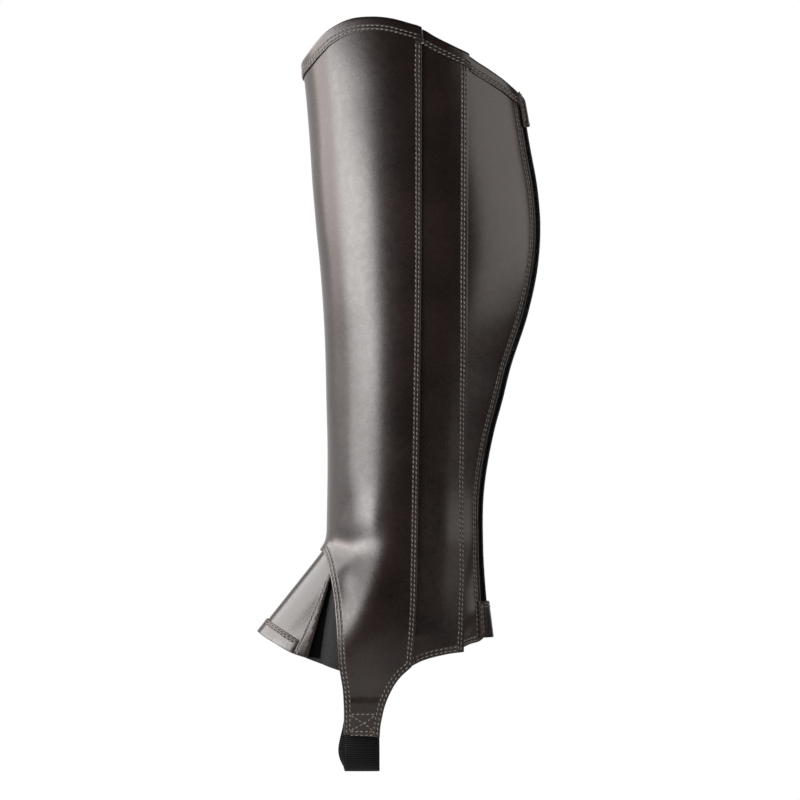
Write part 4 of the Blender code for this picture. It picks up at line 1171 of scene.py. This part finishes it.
def makeZip():
    tapeDepth = -leather - gap
    for side, name in ((1, "zip_tape_outer"), (-1, "zip_tape_inner")):
        inside = upZip(gap / 2, zipSizes["tapeBottom"], zipSizes["tapeTop"], side)
        outside = upZip(zipSizes["tapeReach"], zipSizes["tapeBottom"], zipSizes["shoulder"], side)
        shoulder = [(side * float(zipAngle(zipSizes["shoulderReach"], z)), z)
                    for z in (zipSizes["tapeTop"], zipSizes["shoulder"])]
        outline = outlineOf(inside, shoulder, outside[::-1])
        finishSheet(shell(name, outline, constant(tapeDepth), tapeThickness, ("zipTape",)), "black_cloth")

    spots, along, out = [], [], []
    count = int((zipSizes["coilTop"] - zipSizes["coilBottom"]) / teeth["pitch"])
    for side, offset in ((1, 0.0), (-1, 0.5)):
        heights = zipSizes["coilBottom"] + (np.arange(count) + offset + 0.3) * teeth["pitch"]
        angles = zipAngle(side * teeth["place"], heights)
        spots.append(legPoints(angles, heights, np.full(count, teeth["depth"])))
        facing = outward(foldedForm, angles, heights)
        along.append(unit(np.cross(facing, (0, 0, 1.0))) + np.array((0, 0, teeth["slant"] * side)))
        out.append(facing)
    spots, along, out = (np.vstack(part) for part in (spots, along, out))
    coil = beadPiece("zip_coil_teeth", spots, along, out, teeth["sizes"], "coil")
    finishPiece(coil, "black_coil", "zip_coil")
    sides = [upZip(sign * cord["reach"], zipSizes["coilBottom"], zipSizes["coilTop"]) for sign in (1, -1)]
    core = shell("zip_coil_cord", outlineOf(sides[0], sides[1][::-1]), constant(cord["depth"]),
                 cord["thickness"], ("coil",), rounding=0.4)
    finishPiece(core, "black_coil")

    slider, pull = zipSizes["sliderThickness"], zipSizes["pullThickness"]
    for name, plan, depth, thickness in (
        ("zip_slider", sliderPlan, zipSizes["coilDepth"], slider),
        ("zip_pull", pullPlan, zipSizes["coilDepth"] + gap + pull, pull),
    ):
        outline = outlineOf(curveThrough(zipPoints(plan + plan[:1]), 0.7))
        piece = shell(name, outline, constant(depth), thickness, ("metal",), spacing=1.0, rounding=0.45)
        finishPiece(piece, "dark_metal", name)


# Leather guard over the top of the zip, and the tab over its lower end
guard = {"halfWidth": 12.5, "wing": 17.5, "corner": 3.0, "bottom": 72.5, "wingTop": 86.6, "top": 97.8,
         "ramp": (4.5, 10.0), "curlStart": 90.8, "curl": 2.4, "thickness": 1.0}
heel = {"halfWidth": 17.0, "bottom": -294.6, "top": -268.5, "ramp": (4.0, 10.0), "thickness": 1.3,
        "flare": 1.2}


def makeZipCovers():
    overPull = zipSizes["coilDepth"] + gap + zipSizes["pullThickness"]

    def guardRise(angle, height):
        middle = 1 - softStep(zipDistance(angle, height), *guard["ramp"])
        curl = guard["curl"] * softStep(height, guard["curlStart"], guard["top"])
        return gap + (overPull - curl) * middle + guard["thickness"]

    def heelRise(angle, height):
        middle = 1 - softStep(zipDistance(angle, height), *heel["ramp"])
        flare = heel["flare"] * (heel["top"] - height) / (heel["top"] - heel["bottom"])
        return gap + (zipSizes["coilDepth"] + flare) * middle + heel["thickness"]

    edge, corner, wing, top = guard["halfWidth"], guard["corner"], guard["wing"], guard["top"]
    bottom, wingTop = guard["bottom"], guard["wingTop"]
    plan = (
        (edge, bottom), (edge, top - corner), (edge - 0.3 * corner, top - 0.3 * corner), (edge - corner, top),
        (corner - edge, top), (0.3 * corner - edge, top - 0.3 * corner), (-edge, top - corner),
        (-edge, wingTop), (-wing, wingTop), (-wing, bottom),
    )
    plan = zipPoints(plan)
    lines = [straight(a, b, 1.5)[:-1] for a, b in zip(plan, plan[1:] + plan[:1])]
    sewing = Rows()
    seams = [
        seamAt(straight(plan[0], plan[1]), guardRise, (1.6, 4.0), -1, (2.6, 1.5)),
        seamAt(straight(plan[9], plan[0]), guardRise, (1.8, 4.0), -1, (5.5, 5.5), single=True),
        seamAt(straight(plan[8], plan[9]), guardRise, (1.6, 4.0), -1, (1.5, 2.6)),
        seamAt(straight(plan[3], plan[4]), guardRise, (2.0, 4.0), -1, (3.0, 3.0), single=True),
    ]
    stitchedSheet(sewing, "zip_guard", outlineOf(*lines), guardRise, seams, guard["thickness"], 1.6)

    sides = [upZip(sign * heel["halfWidth"], heel["bottom"], heel["top"]) for sign in (1, -1)]
    across = np.linspace(heel["halfWidth"], -heel["halfWidth"], 16)
    upper, lower = (np.array(zipPoints([(place, height) for place in across]))
                    for height in (heel["top"], heel["bottom"]))
    rows = (1.6, 3.8)
    seams = [
        seamAt(sides[0], heelRise, rows, -1, (2.0, 2.4)), seamAt(sides[1], heelRise, rows, 1, (2.0, 2.4)),
        seamAt(upper, heelRise, rows, -1, (6.0, 6.0)),
    ]
    outline = outlineOf(sides[0], upper[1:-1], sides[1][::-1], lower[::-1][1:-1])
    stitchedSheet(sewing, "heel_tab", outline, heelRise, seams, heel["thickness"], 1.8)
    sewing.finish("stitches_zip_covers")


makeZip()
makeZipCovers()
print("zip made")


# Stage, light and camera, in metres
studio = {"floor": -0.45, "floorRadius": 0.78, "cameraDistance": 6.0, "frameWidth": 0.576,
          "cameraPlace": (-0.0209, -0.1238)}
white, warm, cream = (1, 1, 1), (1, 0.87, 0.86), (1, 0.95, 0.91)
softboxes = (     # azimuths from the camera towards the shin, levels, distance, radiance and colour
    ("shin_softbox_low", (40, 57), (-0.2, 0.05), 0.95, 8.0, white),
    ("shin_softbox_high", (51, 57), (0.05, 0.1), 0.95, 8.0, white),
    ("shin_softbox_side", (57, 68), (-0.15, 0.12), 0.95, 8.0, white),
    ("front_softbox", (68, 98), (-0.08, 0.16), 0.95, 3.7, warm),
    ("calf_softbox", (-98, -31), (-0.21, 0.45), 0.8, 1.3, cream),
)
instepSoftbox = {"azimuth": 95, "distance": 1.15, "height": 0.44, "target": (0, -0.1, -0.28),
                 "size": (1.6, 0.6), "radiance": 4.4}


def makeFloor():
    made, _, shader = newMaterial("white_paper", 0.9)       # matt backdrop paper
    shader.inputs["Base Color"].default_value = linear("#d2d1cf")
    radius, level = studio["floorRadius"], studio["floor"]
    turns = np.linspace(0, math.tau, 97)[:-1]
    ring = [(radius * math.cos(t), radius * math.sin(t), level) for t in turns]
    mesh = bpy.data.meshes.new("floor")
    mesh.from_pydata(ring, [], [tuple(range(len(ring)))])
    mesh.materials.append(made)
    addToScene("floor", mesh)


def areaLight(name, place, target, size, radiance, colour):
    lamp = bpy.data.lights.new(name, "AREA")
    lamp.shape = "RECTANGLE"
    lamp.size, lamp.size_y = size
    lamp.energy = radiance * math.pi * size[0] * size[1]       # watts of a lamp that looks this bright
    lamp.color = colour
    holder = addToScene(name, lamp)
    holder.location = place
    holder.rotation_euler = (Vector(target) - Vector(place)).to_track_quat("-Z", "Y").to_euler()
    holder.visible_camera = False


def atAzimuth(degrees, distance, height):
    turn = math.radians(degrees)
    return (distance * math.cos(turn), -distance * math.sin(turn), height)


def makeLights():
    for name, azimuths, levels, distance, radiance, colour in softboxes:
        halfAngle = math.radians((azimuths[1] - azimuths[0]) / 2)
        size = (2 * distance * math.tan(halfAngle), levels[1] - levels[0])
        height = sum(levels) / 2
        place = atAzimuth(sum(azimuths) / 2, distance, height)
        areaLight(name, place, (0, 0, height), size, radiance, colour)
    box = instepSoftbox
    place = atAzimuth(box["azimuth"], box["distance"], box["height"])
    areaLight("instep_softbox", place, box["target"], box["size"], box["radiance"], white)


def makeWorld():
    # White to the camera. To the leather, a glow from behind the shin that fades sideways and upwards
    world = bpy.data.worlds.new("studio_air")
    bpy.context.scene.world = world
    world.use_nodes = True
    tree = world.node_tree
    tree.nodes.clear()
    way = addNode(tree, "ShaderNodeTexCoord", output="Generated")
    direction = {0: way, 1: (-0.75, -0.66, 0)}
    behindShin = addNode(tree, "ShaderNodeVectorMath", direction, "Value", operation="DOT_PRODUCT")
    upwards = addNode(tree, "ShaderNodeSeparateXYZ", (way,), 2)
    level = addNode(tree, "ShaderNodeMapRange", (behindShin, -0.3, 0.9, 0.02, 0.95), **smooth)
    fading = addNode(tree, "ShaderNodeMapRange", (upwards, 0.12, 0.4, 1.0, 0.2), **smooth)
    strength = addNode(tree, "ShaderNodeMath", (level, fading), operation="MULTIPLY")
    seen = addNode(tree, "ShaderNodeBackground", ((1, 1, 1, 1), 1.0))
    given = addNode(tree, "ShaderNodeBackground", ((1, 1, 1, 1), strength))
    isSeen = addNode(tree, "ShaderNodeLightPath", output="Is Camera Ray")
    both = addNode(tree, "ShaderNodeMixShader", (isSeen, given, seen))
    addNode(tree, "ShaderNodeOutputWorld", (both,), None)


def makeCamera():
    lens = bpy.data.cameras.new("camera")
    lens.sensor_width = 36
    lens.lens = 36 * studio["cameraDistance"] / studio["frameWidth"]
    lens.clip_end = 100
    camera = addToScene("camera", lens)
    camera.location = (studio["cameraDistance"], *studio["cameraPlace"])
    camera.rotation_euler = Vector((-1, 0, 0)).to_track_quat("-Z", "Y").to_euler()
    bpy.context.scene.camera = camera
    bpy.context.scene.view_settings.view_transform = "Standard"


makeFloor()
makeLights()
makeWorld()
makeCamera()
print("stage, lights and camera made")
